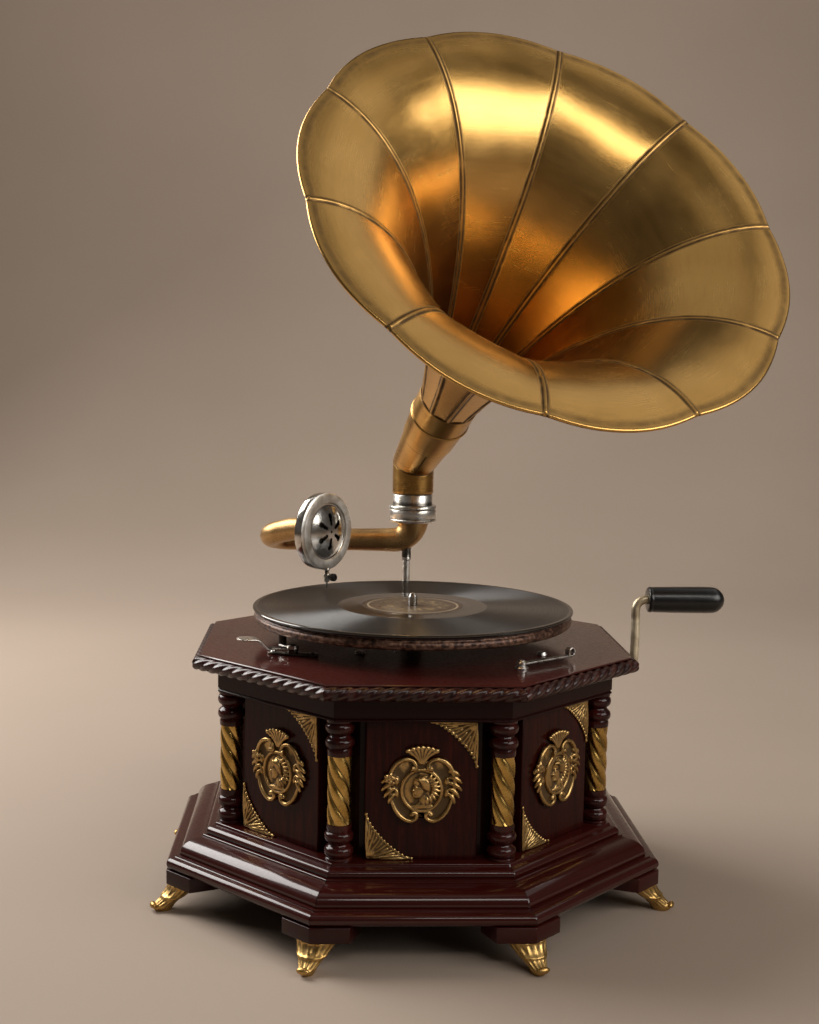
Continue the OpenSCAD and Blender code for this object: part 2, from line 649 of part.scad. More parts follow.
module crank_escutcheon() color(brass) translate([frieze_a - frieze_t, 0, crank_z]) rotate([0, 90, 0]) difference() {
    union() {
        cylinder(r = crank_r + 1.5, h = frieze_t + 1);
        translate([0, 0, frieze_t]) cylinder(r = crank_r + 2.6, h = 2.5);
    }
    translate([0, 0, -1]) cylinder(r = crank_r + run, h = frieze_t + 6);
}

// Quarter bend of the crank rod in the X-Z plane
module rod_bend(r) rotate([90, 0, 0]) rotate_extrude(angle = 90) translate([r, 0]) circle(r = crank_r);

module crank_rod() color([0.8, 0.72, 0.5]) {
    low = 10;
    high = 8;
    translate([barrel_x + 10, 0, crank_z]) rotate([0, 90, 0]) cylinder(r = crank_r, h = crank_x - low - barrel_x - 10);
    translate([crank_x - low, 0, crank_z + low]) rotate([0, 90, 0]) rod_bend(low);
    translate([crank_x, 0, crank_z + low]) cylinder(r = crank_r, h = crank_throw - low - high);
    translate([crank_x + high, 0, grip_z - high]) rotate([0, -90, 0]) rod_bend(high);
    translate([crank_x + high, 0, grip_z]) rotate([0, 90, 0]) cylinder(r = crank_r, h = grip_x + grip_l - 12 - crank_x - high);
}

module crank_pinion() color(steel) translate([barrel_x + wheel_big, 0, crank_z]) rotate([0, -90, 0]) difference() {
    union() {
        linear_extrude(bevel_face, scale = 1 - bevel_face / wheel_big) polygon(gear_outline(bevel_n[0], bevel_m, atan(bevel_n[0] / bevel_n[1])));
        translate([0, 0, -4]) cylinder(r = 7, h = 4.5);
    }
    translate([0, 0, -5]) cylinder(r = crank_r, h = 20);
}

module crank_grip() color(black) translate([grip_x, 0, grip_z]) rotate([0, 90, 0]) difference() {
    rotate_extrude() polygon(concat([[0, 0], [grip_r - 2, 0]], [for (a = [-90:15:0]) [grip_r - 2 + 2 * cos(a), 2 + 2 * sin(a)]],
        [for (a = [0:15:90]) [grip_r * cos(a), grip_l - grip_r + grip_r * sin(a)]]));
    translate([0, 0, -1]) cylinder(r = crank_r + run, h = grip_l - 10);
}

module barrel_arbor() color(steel) translate([barrel_x, 0, plate_z]) {
    cylinder(r = 3, h = drum_z - plate_z);
    translate([0, 0, plate_t + pass]) cylinder(r = arbor_r, h = crank_z - 3 - plate_z - plate_t - pass);
    translate([arbor_r - 1.5, -1, drum_z + 8 - plate_z]) cube([3.5, 2, 14]);
}

module winding_wheel() color(brass) translate([barrel_x, 0, crank_z - pinion_big]) difference() {
    union() {
        rotate(180 / bevel_n[1]) linear_extrude(bevel_face / 2, scale = 1 - bevel_face / wheel_big)
            polygon(gear_outline(bevel_n[1], bevel_m, atan(bevel_n[1] / bevel_n[0])));
        translate([0, 0, plate_top + plate_t + pass - crank_z + pinion_big]) cylinder(r = 9, h = crank_z - pinion_big - plate_top - plate_t);
    }
    translate([0, 0, -30]) cylinder(r = arbor_r, h = 60);
}

module spring_barrel() color(brass) translate([barrel_x, 0, drum_z]) difference() {
    union() {
        cylinder(r = drum_r, h = drum_h + 1);
        translate([0, 0, drum_h]) rotate(atan2(idler_y, idler_x - barrel_x)) linear_extrude(barrel_t) polygon(gear_outline(barrel_n, gear_m));
        translate([0, 0, drum_h]) cylinder(r = 9, h = plate_top - drum_z - drum_h - pass);
    }
    translate([0, 0, 2.5]) cylinder(r = drum_r - 2.5, h = drum_h - 4);
    translate([0, 0, -1]) cylinder(r = arbor_r + run, h = 100);
}

// Spiral of flat spring steel from the arbor's hook to the drum wall
module mainspring() color([0.35, 0.37, 0.42]) translate([barrel_x, 0, drum_z + 3]) {
    turns = 6;
    thick = 1.2;
    r0 = arbor_r + 3;
    r1 = drum_r - 2.6 - thick;
    side = function (e) [for (j = [0:turns * 24]) let (a = 15 * j, r = r0 + (r1 - r0) * j / (turns * 24) + e) r * [cos(a), sin(a)]];
    outer = side(thick);
    inner = side(0);
    linear_extrude(drum_h - 5.5) polygon(concat(outer, [for (j = [len(inner) - 1:-1:0]) inner[j]]));
}

module idler_arbor() color(steel) translate([idler_x, idler_y, plate_z]) {
    cylinder(r = 3, h = plate_top + plate_t - plate_z);
    translate([0, 0, plate_t + pass]) cylinder(r = 4.5, h = barrel_z - plate_z - plate_t - 2);
    translate([0, 0, barrel_z - 1 - plate_z]) rotate(atan2(-idler_y, barrel_x - idler_x) + 180 / pinion_n)
        linear_extrude(barrel_t + 2) polygon(gear_outline(pinion_n, gear_m));
    translate([0, 0, barrel_z + barrel_t - plate_z]) cylinder(r = 5, h = idler_z - barrel_z - barrel_t);
}

module idler_wheel() color(brass) translate([idler_x, idler_y, idler_z]) difference() {
    rotate(atan2(-idler_y, -idler_x)) linear_extrude(idler_t) polygon(gear_outline(idler_n, gear_m));
    translate([0, 0, -1]) cylinder(r = 3, h = 10);
    for (a = [0:60:300]) rotate(a) translate([21, 0, -1]) cylinder(r = 7, h = 10);
}

// Spindle: pinion cut from the solid, shoulder for the platter, pin for the record
module spindle() color(steel) {
    translate([0, 0, plate_z]) cylinder(r = 3, h = plate_t + 6);
    translate([0, 0, plate_z + plate_t + pass]) cylinder(r = spindle_r, h = hub_z - 4 - plate_z - plate_t - pass);
    rotate(atan2(idler_y, idler_x) + 180 / pinion_n) translate([0, 0, idler_z - 1]) linear_extrude(idler_t + 2) polygon(gear_outline(pinion_n, gear_m));
    translate([0, 0, hub_z - 4]) cylinder(r = 6.5, h = 4);
    rotate_extrude() polygon([[0, hub_z - 1], [pin_r, hub_z - 1], [pin_r, record_top], [pin_r - 0.6, record_top + 0.2], [pin_r - 0.6, record_top + 0.8],
        [pin_r, record_top + 0.8], [pin_r, record_top + 6.8], [pin_r - 1.4, record_top + 9.4], [0, record_top + 10]]);
}

module worm_wheel() color(brass) translate([0, 0, worm_z - 1.2]) difference() {
    union() {
        rotate(180 + 180 / worm_n) linear_extrude(2.4) polygon(gear_outline(worm_n, gear_m));
        translate([0, 0, -3]) cylinder(r = 8, h = 4);
    }
    translate([0, 0, -5]) cylinder(r = spindle_r, h = 20);
}

module platter() color([0.3, 0.2, 0.14]) difference() {
    rotate_extrude($fn = 96) polygon([[0, hub_z], [hub_r, hub_z], [hub_r, platter_top - 3.2], [platter_r - 3, platter_top - 2.2], [platter_r - 3, platter_z],
        [platter_r, platter_z], [platter_r, platter_top - 1.5], [platter_r - 1.5, platter_top], [0, platter_top]]);
    translate([0, 0, hub_z - 1]) cylinder(r = pin_r + run, h = 60);
}

module platter_felt() color([0.22, 0.1, 0.08]) translate([0, 0, platter_top]) difference() {
    cylinder(r = platter_r - 1.5, h = felt_t, $fn = 96);
    translate([0, 0, -1]) cylinder(r = pin_r + run, h = felt_t + 2);
}

module record() color(black) difference() {
    rotate_extrude($fn = 96) polygon([[0, record_z], [record_r - 1, record_z], [record_r, record_z + 0.8], [record_r, record_top - 0.8], [record_r - 1, record_top], [0, record_top]]);
    translate([0, 0, record_z - 1]) cylinder(r = pin_r + run, h = record_t + 2);
    for (z = [record_z - 1, record_top - 0.1]) translate([0, 0, z]) cylinder(r = label_r, h = z < record_z ? 1.1 : 1, $fn = 96);
}

module record_labels() color([0.45, 0.33, 0.2]) for (z = [record_z, record_top - 0.1]) translate([0, 0, z]) difference() {
    cylinder(r = label_r, h = 0.1, $fn = 96);
    translate([0, 0, -1]) cylinder(r = pin_r + run, h = 3);
}

// Governor: right-hand worm, three sprung balls and the friction disc
module governor_shaft() color(steel) translate([worm_x, 0, worm_z]) rotate([-90, 0, 0]) {
    worm_l = 16;
    half = (PI * gear_m / 2 - backlash - 0.15) / 2;
    thread = [[0, worm_r + gear_m], [half - gear_m * tan(20), worm_r + gear_m], [half + 1.25 * gear_m * tan(20), worm_r - 1.25 * gear_m], [worm_lead, worm_r - 1.25 * gear_m]];
    translate([0, 0, governor_y[0] - 3]) cylinder(r = 2, h = governor_y[1] - governor_y[0] + 6);
    loft([for (j = [-28:28]) let (z = worm_l * j / 56) [for (a = [-180:22.5:157.5]) let (b = a + 360 * z / worm_lead, r = lookup(abs(a) / 360 * worm_lead, thread))
        [r * cos(b), r * sin(b), z]]]);
}

module governor_weights() color(brass) translate([worm_x, 0, worm_z]) rotate([-90, 0, 0]) difference() {
    union() {
        for (y = [-28, -51]) translate([0, 0, y]) cylinder(r = 8, h = 3);
        translate([0, 0, -55.5]) cylinder(r = 12, h = 1.6);
        translate([0, 0, -55.5]) cylinder(r = 5, h = 6);
        for (a = [0:120:240]) rotate(a) {
            translate([6.5, -2, -51]) cube([0.8, 4, 26]);
            translate([9.6, 0, -38]) sphere(r = 4);
        }
    }
    translate([0, 0, -60]) cylinder(r = 2, h = 60);
}

// Arm

// Hollow tube with an elbow: upright under the collar, then level to the swivel
module tonearm() color(bronze) {
    bore = arm_r - arm_wall;
    difference() {
        union() {
            translate([collar_x - elbow_r, post_y, collar_z]) rotate([90, 0, 0]) rotate_extrude(angle = -90) translate([elbow_r, 0]) circle(r = arm_r);
            translate([collar_x, post_y, collar_z]) cylinder(r = arm_r, h = 12);
            translate([swivel_x, post_y, arm_z]) rotate([0, 90, 0]) cylinder(r = arm_r, h = collar_x - elbow_r - swivel_x);
            translate([swivel_x - spigot_l, post_y, arm_z]) rotate([0, 90, 0]) cylinder(r = spigot_r, h = spigot_l + 1);
            translate([post_x, post_y, pivot_z]) cylinder(r = 4.2, h = 14);
        }
        translate([collar_x - elbow_r, post_y, collar_z]) rotate([90, 0, 0]) rotate_extrude(angle = -90) translate([elbow_r, 0]) circle(r = bore);
        translate([collar_x, post_y, collar_z]) cylinder(r = bore, h = 20);
        translate([swivel_x - 20, post_y, arm_z]) rotate([0, 90, 0]) cylinder(r = bore, h = collar_x - elbow_r - swivel_x + 20);
        translate([post_x, post_y, pivot_z - 1]) cylinder(r = pivot_r + run, h = 10.4);
    }
}

// Chrome socket: ribbed ring on the arm, narrower ring and spigot for the horn
module arm_collar() color(chrome) translate([collar_x, post_y, collar_z]) difference() {
    rotate_extrude() polygon([[0, 0], [17, 0], [20.8, 2.4], [20.8, 6], [19.8, 6.6], [20.8, 7.2], [20.8, 10], [19.8, 10.6], [20.8, 11.2],
        [20.8, collar_low - 1], [19.8, collar_low], [pipe_r - 0.7, collar_low], [pipe_r - 0.7, collar_low + collar_high],
        [socket_r, collar_low + collar_high], [socket_r, collar_low + collar_high + 15], [0, collar_low + collar_high + 15]]);
    translate([0, 0, -1]) cylinder(r = arm_r, h = 13);
    cylinder(r = arm_r - arm_wall, h = 60);
    translate([0, 0, collar_low]) cylinder(r = socket_r - 1.5, h = 60);
}

// Gooseneck route: round the bend, then along the soundbox's axis, rising to it
function goose_flat(s) = s < 0 ? [goose_c[0] - s, post_y] : s < goose_arc ?
    let (a = 90 + s / gooseneck_r * 180 / PI) goose_c + gooseneck_r * [cos(a), sin(a)] :
    goose_exit + (s - goose_arc) * soundbox_n;
function goose_at(s) = let (p = goose_flat(s))
    [p[0], p[1], arm_z + (soundbox[2] - arm_z) * ease(s / (goose_arc + goose_run - 5))];
function goose_ring(s, r) = let (
    f = goose_at(s + 0.2) - goose_at(s - 0.2), t = f / norm(f),
    w = cross(t, [0, 0, 1]) / norm(cross(t, [0, 0, 1])), v = cross(t, w))
    [for (k = [0:17]) goose_at(s) + r * (cos(20 * k) * w + sin(20 * k) * v)];

// Sleeve that turns on the arm's spigot, bent tube, and spigot for the soundbox
module gooseneck() color(bronze) {
    bore = arm_r - arm_wall;
    stops = concat([goose_c[0] - swivel_x + spigot_l + 1.5], [for (j = [0:18]) (goose_arc + goose_run) * j / 18]);
    shell([for (s = stops) goose_ring(s, arm_r)], [for (s = stops) goose_ring(s, bore)]);
    translate([swivel_x - spigot_l - 3, post_y, arm_z]) rotate([0, 90, 0]) difference() {
        cylinder(r = arm_r + 0.4, h = spigot_l + 3 - pass);
        translate([0, 0, 2.5]) cylinder(r = spigot_r + run, h = 20);
        translate([0, 0, -1]) cylinder(r = bore - 0.3, h = 20);
    }
    at_soundbox() translate([-spigot_in - 2, 0, 0]) rotate([0, 90, 0]) difference() {
        union() {
            cylinder(r = arm_r + 0.2, h = 2 + goose_lip);
            cylinder(r = box_spigot_r, h = 1 + boss_l);
        }
        translate([0, 0, -1]) cylinder(r = box_spigot_r - 1.4, h = 20);
    }
}

// Soundbox, built facing +X and turned to its place

module at_soundbox() translate(soundbox) rotate(soundbox_turn) children();

module soundbox_case() color(chrome) at_soundbox() rotate([0, 90, 0]) difference() {
    h = soundbox_t / 2;
    rotate_extrude($fn = 72) polygon([[box_spigot_r + run, -h - boss_l + goose_lip + pass], [9.4, -h - boss_l + goose_lip + pass], [9.4, -h - 1], [soundbox_r - 4, -h], [soundbox_r, -h + 3], [soundbox_r, h - 4],
        [soundbox_r - 2, h - 4], [soundbox_r - 2, -1], [soundbox_r - 4, -1], [soundbox_r - 4, -h + 2.4], [box_spigot_r + run, -h + 1.4]]);
    translate([soundbox_r - 1, 0, needle_out]) cylinder(r = 3.4, h = 8, center = true);
}

// Face ring and pierced dome with six three-lobed slots
module soundbox_cover() color(chrome) at_soundbox() rotate([0, 90, 0]) difference() {
    h = soundbox_t / 2;
    rotate_extrude($fn = 72) polygon([[0, h + 1.6], [8, h + 1.3], [14, h + 0.2], [18, h - 1.6], [21.5, h - 4], [soundbox_r, h - 4], [soundbox_r, h - 1], [soundbox_r - 1.5, h],
        [24.2, h], [23, h - 1.6], [21.6, h - 1.6], [18.6, h - 0.1], [14, h + 1.7], [8, h + 2.7], [0, h + 3]]);
    for (a = [0:60:300]) rotate(a + 30) for (q = [[6.8, 1.6], [9.6, 1.85], [13.2, 2.45]]) translate([q[0], 0, -1]) cylinder(r = q[1], h = 20, $fn = 24);
    translate([0, 0, -1]) cylinder(r = 1.2, h = 20, $fn = 24);
    translate([soundbox_r - 4.4, -3.4, needle_out - 4]) cube([8, 6.8, 8]);
}

module diaphragm() color([0.8, 0.78, 0.7]) at_soundbox() rotate([0, 90, 0])
    translate([0, 0, -1]) rotate_extrude($fn = 72) polygon([[0, 0], [14, 0.8], [18, 0], [soundbox_r - 2 - run, 0], [soundbox_r - 2 - run, 0.5], [18, 0.5], [14, 1.3], [0, 0.5]]);

// Needle chuck hanging from the soundbox's lower edge
module needle_holder() color(chrome) at_soundbox() translate([needle_out, 0, 0]) difference() {
    union() {
        translate([0, 0, -41]) cylinder(r = 2.8, h = 10.5);
        translate([-3.8, -2.6, -soundbox_r + 0.2]) cube([3.8, 5.2, 1.6]);
        translate([0, 0, -42.5]) cylinder(r1 = 1.8, r2 = 2.8, h = 1.5);
    }
    translate([0, 0, -50]) cylinder(r = 0.75, h = 15);
    translate([0, 0, -38]) rotate([0, 90, 0]) cylinder(r = 1.1 + run, h = 6);
}

module needle() color(steel) at_soundbox() translate([needle_out, 0, 0]) {
    translate([0, 0, -46]) cylinder(r = 0.75, h = 10.5);
    translate([0, 0, -needle_drop]) cylinder(r1 = 0.15, r2 = 0.75, h = 2);
}

module thumb_screw() color(black) at_soundbox() translate([needle_out, 0, -38]) rotate([0, 90, 0]) {
    translate([0, 0, 1]) cylinder(r = 1.1, h = 5);
    translate([0, 0, 4.5]) rotate_extrude() polygon([[0, 0], [2, 0], [3.2, 0.8], [3.2, 4], [2.6, 4.6], [0, 4.6]]);
}

// Horn

function pipe_ring(z, r) = [for (k = [0:35]) [collar_x, post_y, z] + r * (cos(10 * k) * horn_u - sin(10 * k) * cross(horn_u, [0, 0, 1]))];
function mitre_ring(r) = let (m = horn_n + [0, 0, 1])
    [for (p = pipe_ring(mitre_z, r)) p - [0, 0, ((p - horn_e) * m) / m[2]]];
function neck_ring(s, r) = [for (k = [0:35]) horn_e + s * horn_n + r * (cos(10 * k) * horn_u + sin(10 * k) * horn_v)];
// Rings of the pipe and neck, w inside the outer face, with a bead at each soldered seam
function horn_rings(w) = concat([pipe_ring(pipe_z + pass, pipe_r - w), mitre_ring(pipe_r - w)],
    [for (q = neck_stages, e = [-1, 0, 1]) neck_ring(q[0] + e, q[1] + (e == 0 ? 0.9 : 0) - w)], [neck_ring(bell_s, bell_r - w)]);

// Pipe on the collar's spigot, mitred to the neck's soldered cones
module horn_pipe() color(horn_brass) {
    shell(horn_rings(0), horn_rings(horn_wall));
    translate([collar_x, post_y, pipe_z + pass]) difference() {
        cylinder(r = pipe_r - horn_wall + 0.3, h = 15);
        translate([0, 0, -1]) cylinder(r = socket_r + run, h = 20);
    }
}

// Ring of the bell: petals between raised seams, the rim bulging between them
function bell_ring(u, off) = let (q = bezier(bell_curve, u),
    e = bezier(bell_curve, min(1, u + 0.01)) - bezier(bell_curve, max(0, u - 0.01)), n = [-e[1], e[0]] / norm(e))
    [for (i = [0:petals - 1], f = [0, 0.035, 0.26, 0.5, 0.74, 0.965]) let (
        a = seam_turn + (i + f) * 360 / petals,
        d = off + (f == 0 ? 0.9 * sign(off) * min(1, 3 * u) : 0),
        swell = petal_bulge * sin(180 * f) * pow(u, 3))
        horn_e + (q[0] + n[0] * d) * horn_n + (q[1] + n[1] * d + swell) * (cos(a) * horn_u + sin(a) * horn_v)];

module horn_bell() color(horn_brass) {
    stops = [for (j = [0:13]) j / 13];
    shell([for (u = stops) bell_ring(u, horn_wall / 2)], [for (u = stops) bell_ring(u, -horn_wall / 2)]);
}

feet();
foot_screws();
foot_blocks();
bottom_board();
plinth_rails();
plinth_moulding();
plinth_cap();
carcass_boards();
panels();
columns();
column_sleeves();
medallions();
corner_ornaments();
frieze_boards();
top_board();
rope_moulding();
crank_escutcheon();
post_flange();
deck_screws();
arm_post();
brake_base();
brake_lever();
brake_pad();
speed_base();
speed_lever();
motor_bottom_plate();
motor_top_plate();
motor_pillars();
motor_bolts();
governor_bearings();
crank_bearing();
check_spring();
crank_rod();
crank_pinion();
crank_grip();
barrel_arbor();
winding_wheel();
spring_barrel();
mainspring();
idler_arbor();
idler_wheel();
spindle();
worm_wheel();
platter();
platter_felt();
record();
record_labels();
governor_shaft();
governor_weights();
tonearm();
arm_collar();
gooseneck();
soundbox_case();
soundbox_cover();
diaphragm();
needle_holder();
needle();
thumb_screw();
horn_pipe();
horn_bell();
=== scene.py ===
"""Wind-up gramophone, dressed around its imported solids.

The sections follow the machine as it is put together, from the paper it
stands on, up through the cabinet and the motor to the arm and the horn.
"""
import math

import bmesh
import bpy
import numpy as np
from mathutils import Matrix, Vector


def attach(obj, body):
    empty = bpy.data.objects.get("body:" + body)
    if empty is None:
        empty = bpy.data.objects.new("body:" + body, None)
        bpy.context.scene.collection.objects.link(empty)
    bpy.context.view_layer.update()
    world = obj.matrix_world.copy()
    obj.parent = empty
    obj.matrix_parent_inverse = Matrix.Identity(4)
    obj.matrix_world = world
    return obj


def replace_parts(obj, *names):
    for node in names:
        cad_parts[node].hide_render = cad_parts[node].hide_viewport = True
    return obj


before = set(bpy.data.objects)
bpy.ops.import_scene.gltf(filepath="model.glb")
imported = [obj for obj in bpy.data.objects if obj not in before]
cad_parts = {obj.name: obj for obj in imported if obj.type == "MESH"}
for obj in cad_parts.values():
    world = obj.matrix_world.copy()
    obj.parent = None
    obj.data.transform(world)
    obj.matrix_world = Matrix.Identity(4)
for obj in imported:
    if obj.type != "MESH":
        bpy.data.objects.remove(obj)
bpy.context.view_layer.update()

# Studio: a seamless roll of warm grey paper, curved up behind the machine,
# with one large soft lamp at the upper left and weaker ones to fill.


def clear():
    """Leaves edit mode and selects nothing."""
    if bpy.context.object and bpy.context.object.mode != "OBJECT":
        bpy.ops.object.mode_set(mode="OBJECT")
    bpy.ops.object.select_all(action="DESELECT")


def choose(obj):
    """Selects one object alone and makes it the active one."""
    clear()
    obj.select_set(True)
    bpy.context.view_layer.objects.active = obj
    return obj


def work_on(obj):
    """Opens one object in edit mode with all of it selected."""
    choose(obj)
    bpy.ops.object.mode_set(mode="EDIT")
    bpy.ops.mesh.select_mode(type="VERT")
    bpy.ops.mesh.select_all(action="SELECT")


def pick(kind, test):
    """Selects the vertices, edges or faces of the open mesh whose middle passes the test."""
    mesh = bpy.context.object.data
    bpy.ops.mesh.select_mode(type=kind)
    bpy.ops.mesh.select_all(action="DESELECT")
    shape = bmesh.from_edit_mesh(mesh)
    for part in {"VERT": shape.verts, "EDGE": shape.edges, "FACE": shape.faces}[kind]:
        corners = [part] if kind == "VERT" else part.verts
        middle = sum((v.co for v in corners), Vector()) / len(corners)
        if test(middle, part):
            part.select_set(True)
    shape.select_flush_mode()
    bmesh.update_edit_mesh(mesh)


def material(name):
    """A new material with its tree, its shader and its place on the object."""
    made = bpy.data.materials.new(name)
    made.use_nodes = True
    tree = made.node_tree
    return made, tree, tree.nodes["Principled BSDF"], add(tree, "TexCoord").outputs["Object"]


def feed(tree, socket, value):
    """Links a socket to another node's output, or sets it to a number, a vector or a colour."""
    if isinstance(value, bpy.types.NodeSocket):
        tree.links.new(value, socket)
    else:
        socket.default_value = (*value, 1) if socket.type == "RGBA" else value


def add(tree, kind, **values):
    """Adds a node; a key that is no setting of the node names an input, or numbers it as in _0."""
    node = tree.nodes.new("ShaderNode" + kind)
    for key, value in values.items():
        if hasattr(node, key):
            setattr(node, key, value)
        else:
            number = key[1:]
            feed(tree, node.inputs[int(number) if number.isdigit() else key.replace("_", " ")], value)
    return node


def set_skin(tree, skin, **values):
    """Feeds the shader's own inputs, written with _ for a space."""
    for key, value in values.items():
        feed(tree, skin.inputs[key.replace("_", " ")], value)


def ramp(tree, factor, *stops):
    """Colours or greys at places from 0 to 1, read by a factor."""
    node = add(tree, "ValToRGB", Fac=factor)
    bar = node.color_ramp.elements
    while len(bar) < len(stops):
        bar.new(0.5)
    for mark, (place, colour) in zip(bar, stops):
        mark.position = place
        mark.color = (colour, colour, colour, 1) if isinstance(colour, (int, float)) else (*colour, 1)
    return node.outputs["Color"]


def noise(tree, place, scale, detail=4.0, stretch=None, **more):
    """Noise at a place, stretched along its axes if asked."""
    if stretch:
        place = add(tree, "Mapping", Vector=place, Scale=stretch).outputs[0]
    return add(tree, "TexNoise", Vector=place, Scale=scale, Detail=detail, **more).outputs["Fac"]


def bump(tree, height, distance, strength=1.0, under=None):
    """A bump of that height in metres, over another one if given."""
    node = add(tree, "Bump", Height=height, Distance=distance, Strength=strength)
    if under:
        feed(tree, node.inputs["Normal"], under)
    return node.outputs[0]


def dress(obj, *finishes):
    """Gives an object its materials, in slot order."""
    obj.data.materials.clear()
    for finish in finishes:
        obj.data.materials.append(finish)


paper_size, paper_back, paper_high, paper_curve = 10.0, 2.8, 5.0, 1.6
clear()
bpy.ops.mesh.primitive_plane_add(size=paper_size, location=(0, 0, 0))
paper = bpy.context.object
paper.name = "paper_sweep"
work_on(paper)
pick("EDGE", lambda m, e: m.y > 0.49 * paper_size)
bpy.ops.transform.translate(value=(0, paper_back - paper_size / 2, 0))
bpy.ops.mesh.extrude_region_move(TRANSFORM_OT_translate={"value": (0, 0, paper_high)})
pick("EDGE", lambda m, e: m.y > paper_back - 0.1 and m.z < 0.01)
bpy.ops.mesh.bevel(offset=paper_curve, segments=24, affect="EDGES")
bpy.ops.object.mode_set(mode="OBJECT")
bpy.ops.object.shade_smooth()
paper_grey, tree, skin, spot = material("studio_paper")
mottle = noise(tree, spot, 1.3, 3.0)
set_skin(
    tree, skin, Roughness=0.85,
    Base_Color=ramp(tree, mottle, (0.3, (0.325, 0.258, 0.205)), (0.7, (0.365, 0.290, 0.233))),
    Normal=bump(tree, noise(tree, spot, 900.0, 2.0), 0.0002, 0.4))
dress(paper, paper_grey)

camera_at, camera_turn, camera_tilt, camera_roll = (-0.0623, -1.0594, 0.401), -2.29, 83.99, 0.85
camera = bpy.data.objects.new("photo_camera", bpy.data.cameras.new("photo_camera"))
bpy.context.scene.collection.objects.link(camera)
camera.matrix_world = (
    Matrix.Translation(camera_at)
    @ Matrix.Rotation(math.radians(camera_turn), 4, "Z")
    @ Matrix.Rotation(math.radians(camera_tilt), 4, "X")
    @ Matrix.Rotation(math.radians(camera_roll), 4, "Z"))
camera.data.lens = 48.13
camera.data.sensor_width = 36
camera.data.shift_x = 0.0203
bpy.context.scene.camera = camera


def soft_lamp(name, at, toward, width, height, watts, colour):
    """A rectangular lamp aimed at a point."""
    lamp = bpy.data.objects.new(name, bpy.data.lights.new(name, "AREA"))
    lamp.data.shape = "RECTANGLE"
    lamp.data.size, lamp.data.size_y = width, height
    lamp.data.energy, lamp.data.color = watts, colour
    bpy.context.scene.collection.objects.link(lamp)
    lamp.location = at
    lamp.rotation_euler = (Vector(toward) - Vector(at)).to_track_quat("-Z", "Y").to_euler()


warm_white = (1, 0.95, 0.88)
soft_lamp("key_softbox", (-1.10, 0.60, 1.15), (0, 0, 0.3), 1.0, 1.3, 38, (1, 0.97, 0.93))
soft_lamp("front_softbox", (1.35, -0.95, 1.0), (0.05, -0.1, 0.45), 1.3, 0.9, 15.5, (1, 0.96, 0.91))
soft_lamp("high_softbox", (0.40, -1.50, 1.55), (0.15, 0, 0.3), 0.9, 0.32, 5.5, warm_white)
soft_lamp("right_softbox", (1.15, 0.35, 1.85), (0.1, -0.1, 0.5), 1.3, 1.1, 2.3, warm_white)
soft_lamp("ceiling_softbox", (-0.10, -0.25, 2.35), (0, 0, 0.4), 1.6, 1.2, 1.8, warm_white)
soft_lamp("backdrop_lamp", (0.2, 1.1, 1.9), (0.1, 2.75, 0.7), 2.4, 0.8, 22, (1, 0.95, 0.89))
world = bpy.data.worlds.new("studio_air")
bpy.context.scene.world = world
world.use_nodes = True
set_skin(world.node_tree, world.node_tree.nodes["Background"], Color=(0.50, 0.44, 0.38), Strength=0.12)
bpy.context.scene.view_settings.view_transform = "Standard"

# Foot blocks: eight mitred brackets of stained hardwood, glued under the
# corners of the plinth to take the feet.
MM = 0.001
# The first corner stands half a side round from the first side; T22 and C22
# turn a half width into half a side and into the reach of a corner.
SIDES, CORNER = 8, 22.5
T22, C22 = math.tan(math.radians(CORNER)), math.cos(math.radians(CORNER))


def line(name, points):
    """Edges through points in millimetres, extruded one by one from a vertex."""
    clear()
    bpy.ops.mesh.primitive_plane_add(size=MM)
    obj = bpy.context.object
    obj.name = obj.data.name = name
    work_on(obj)
    bpy.ops.mesh.merge(type="CENTER")
    bpy.ops.transform.translate(value=Vector(points[0]) * MM)
    for a, b in zip(points, points[1:]):
        step = (Vector(b) - Vector(a)) * MM
        bpy.ops.mesh.extrude_region_move(TRANSFORM_OT_translate={"value": step})
    bpy.ops.mesh.select_all(action="SELECT")
    return obj


def closed_up(obj, smooth=None):
    """Merges what meets, turns the faces outward and leaves edit mode."""
    bpy.ops.mesh.select_all(action="SELECT")
    bpy.ops.mesh.remove_doubles(threshold=1e-6)
    bpy.ops.mesh.normals_make_consistent(inside=False)
    bpy.ops.object.mode_set(mode="OBJECT")
    if smooth:
        bpy.ops.object.shade_smooth_by_angle(angle=math.radians(smooth))
    return obj


def slab(name, outline, low, high, edge=0.0):
    """An outline in millimetres, filled, extruded upright and its edges softened."""
    obj = line(name, [(*p, low) for p in (*outline, outline[0])])
    bpy.ops.mesh.remove_doubles(threshold=1e-6)
    bpy.ops.mesh.edge_face_add()
    bpy.ops.mesh.extrude_region_move(TRANSFORM_OT_translate={"value": (0, 0, (high - low) * MM)})
    bpy.ops.mesh.select_all(action="SELECT")
    bpy.ops.mesh.normals_make_consistent(inside=False)
    if edge:
        bpy.ops.mesh.bevel(offset=edge * MM, segments=3, affect="EDGES", clamp_overlap=True)
    return closed_up(obj, 35)


def twin(obj):
    """A copy of a piece with its own mesh."""
    copy = obj.copy()
    copy.data = obj.data.copy()
    bpy.context.scene.collection.objects.link(copy)
    return copy


def join(*parts):
    """Parts made one object, under the first one's name."""
    clear()
    for part in parts:
        part.select_set(True)
    bpy.context.view_layer.objects.active = parts[0]
    bpy.ops.object.join()
    return parts[0]


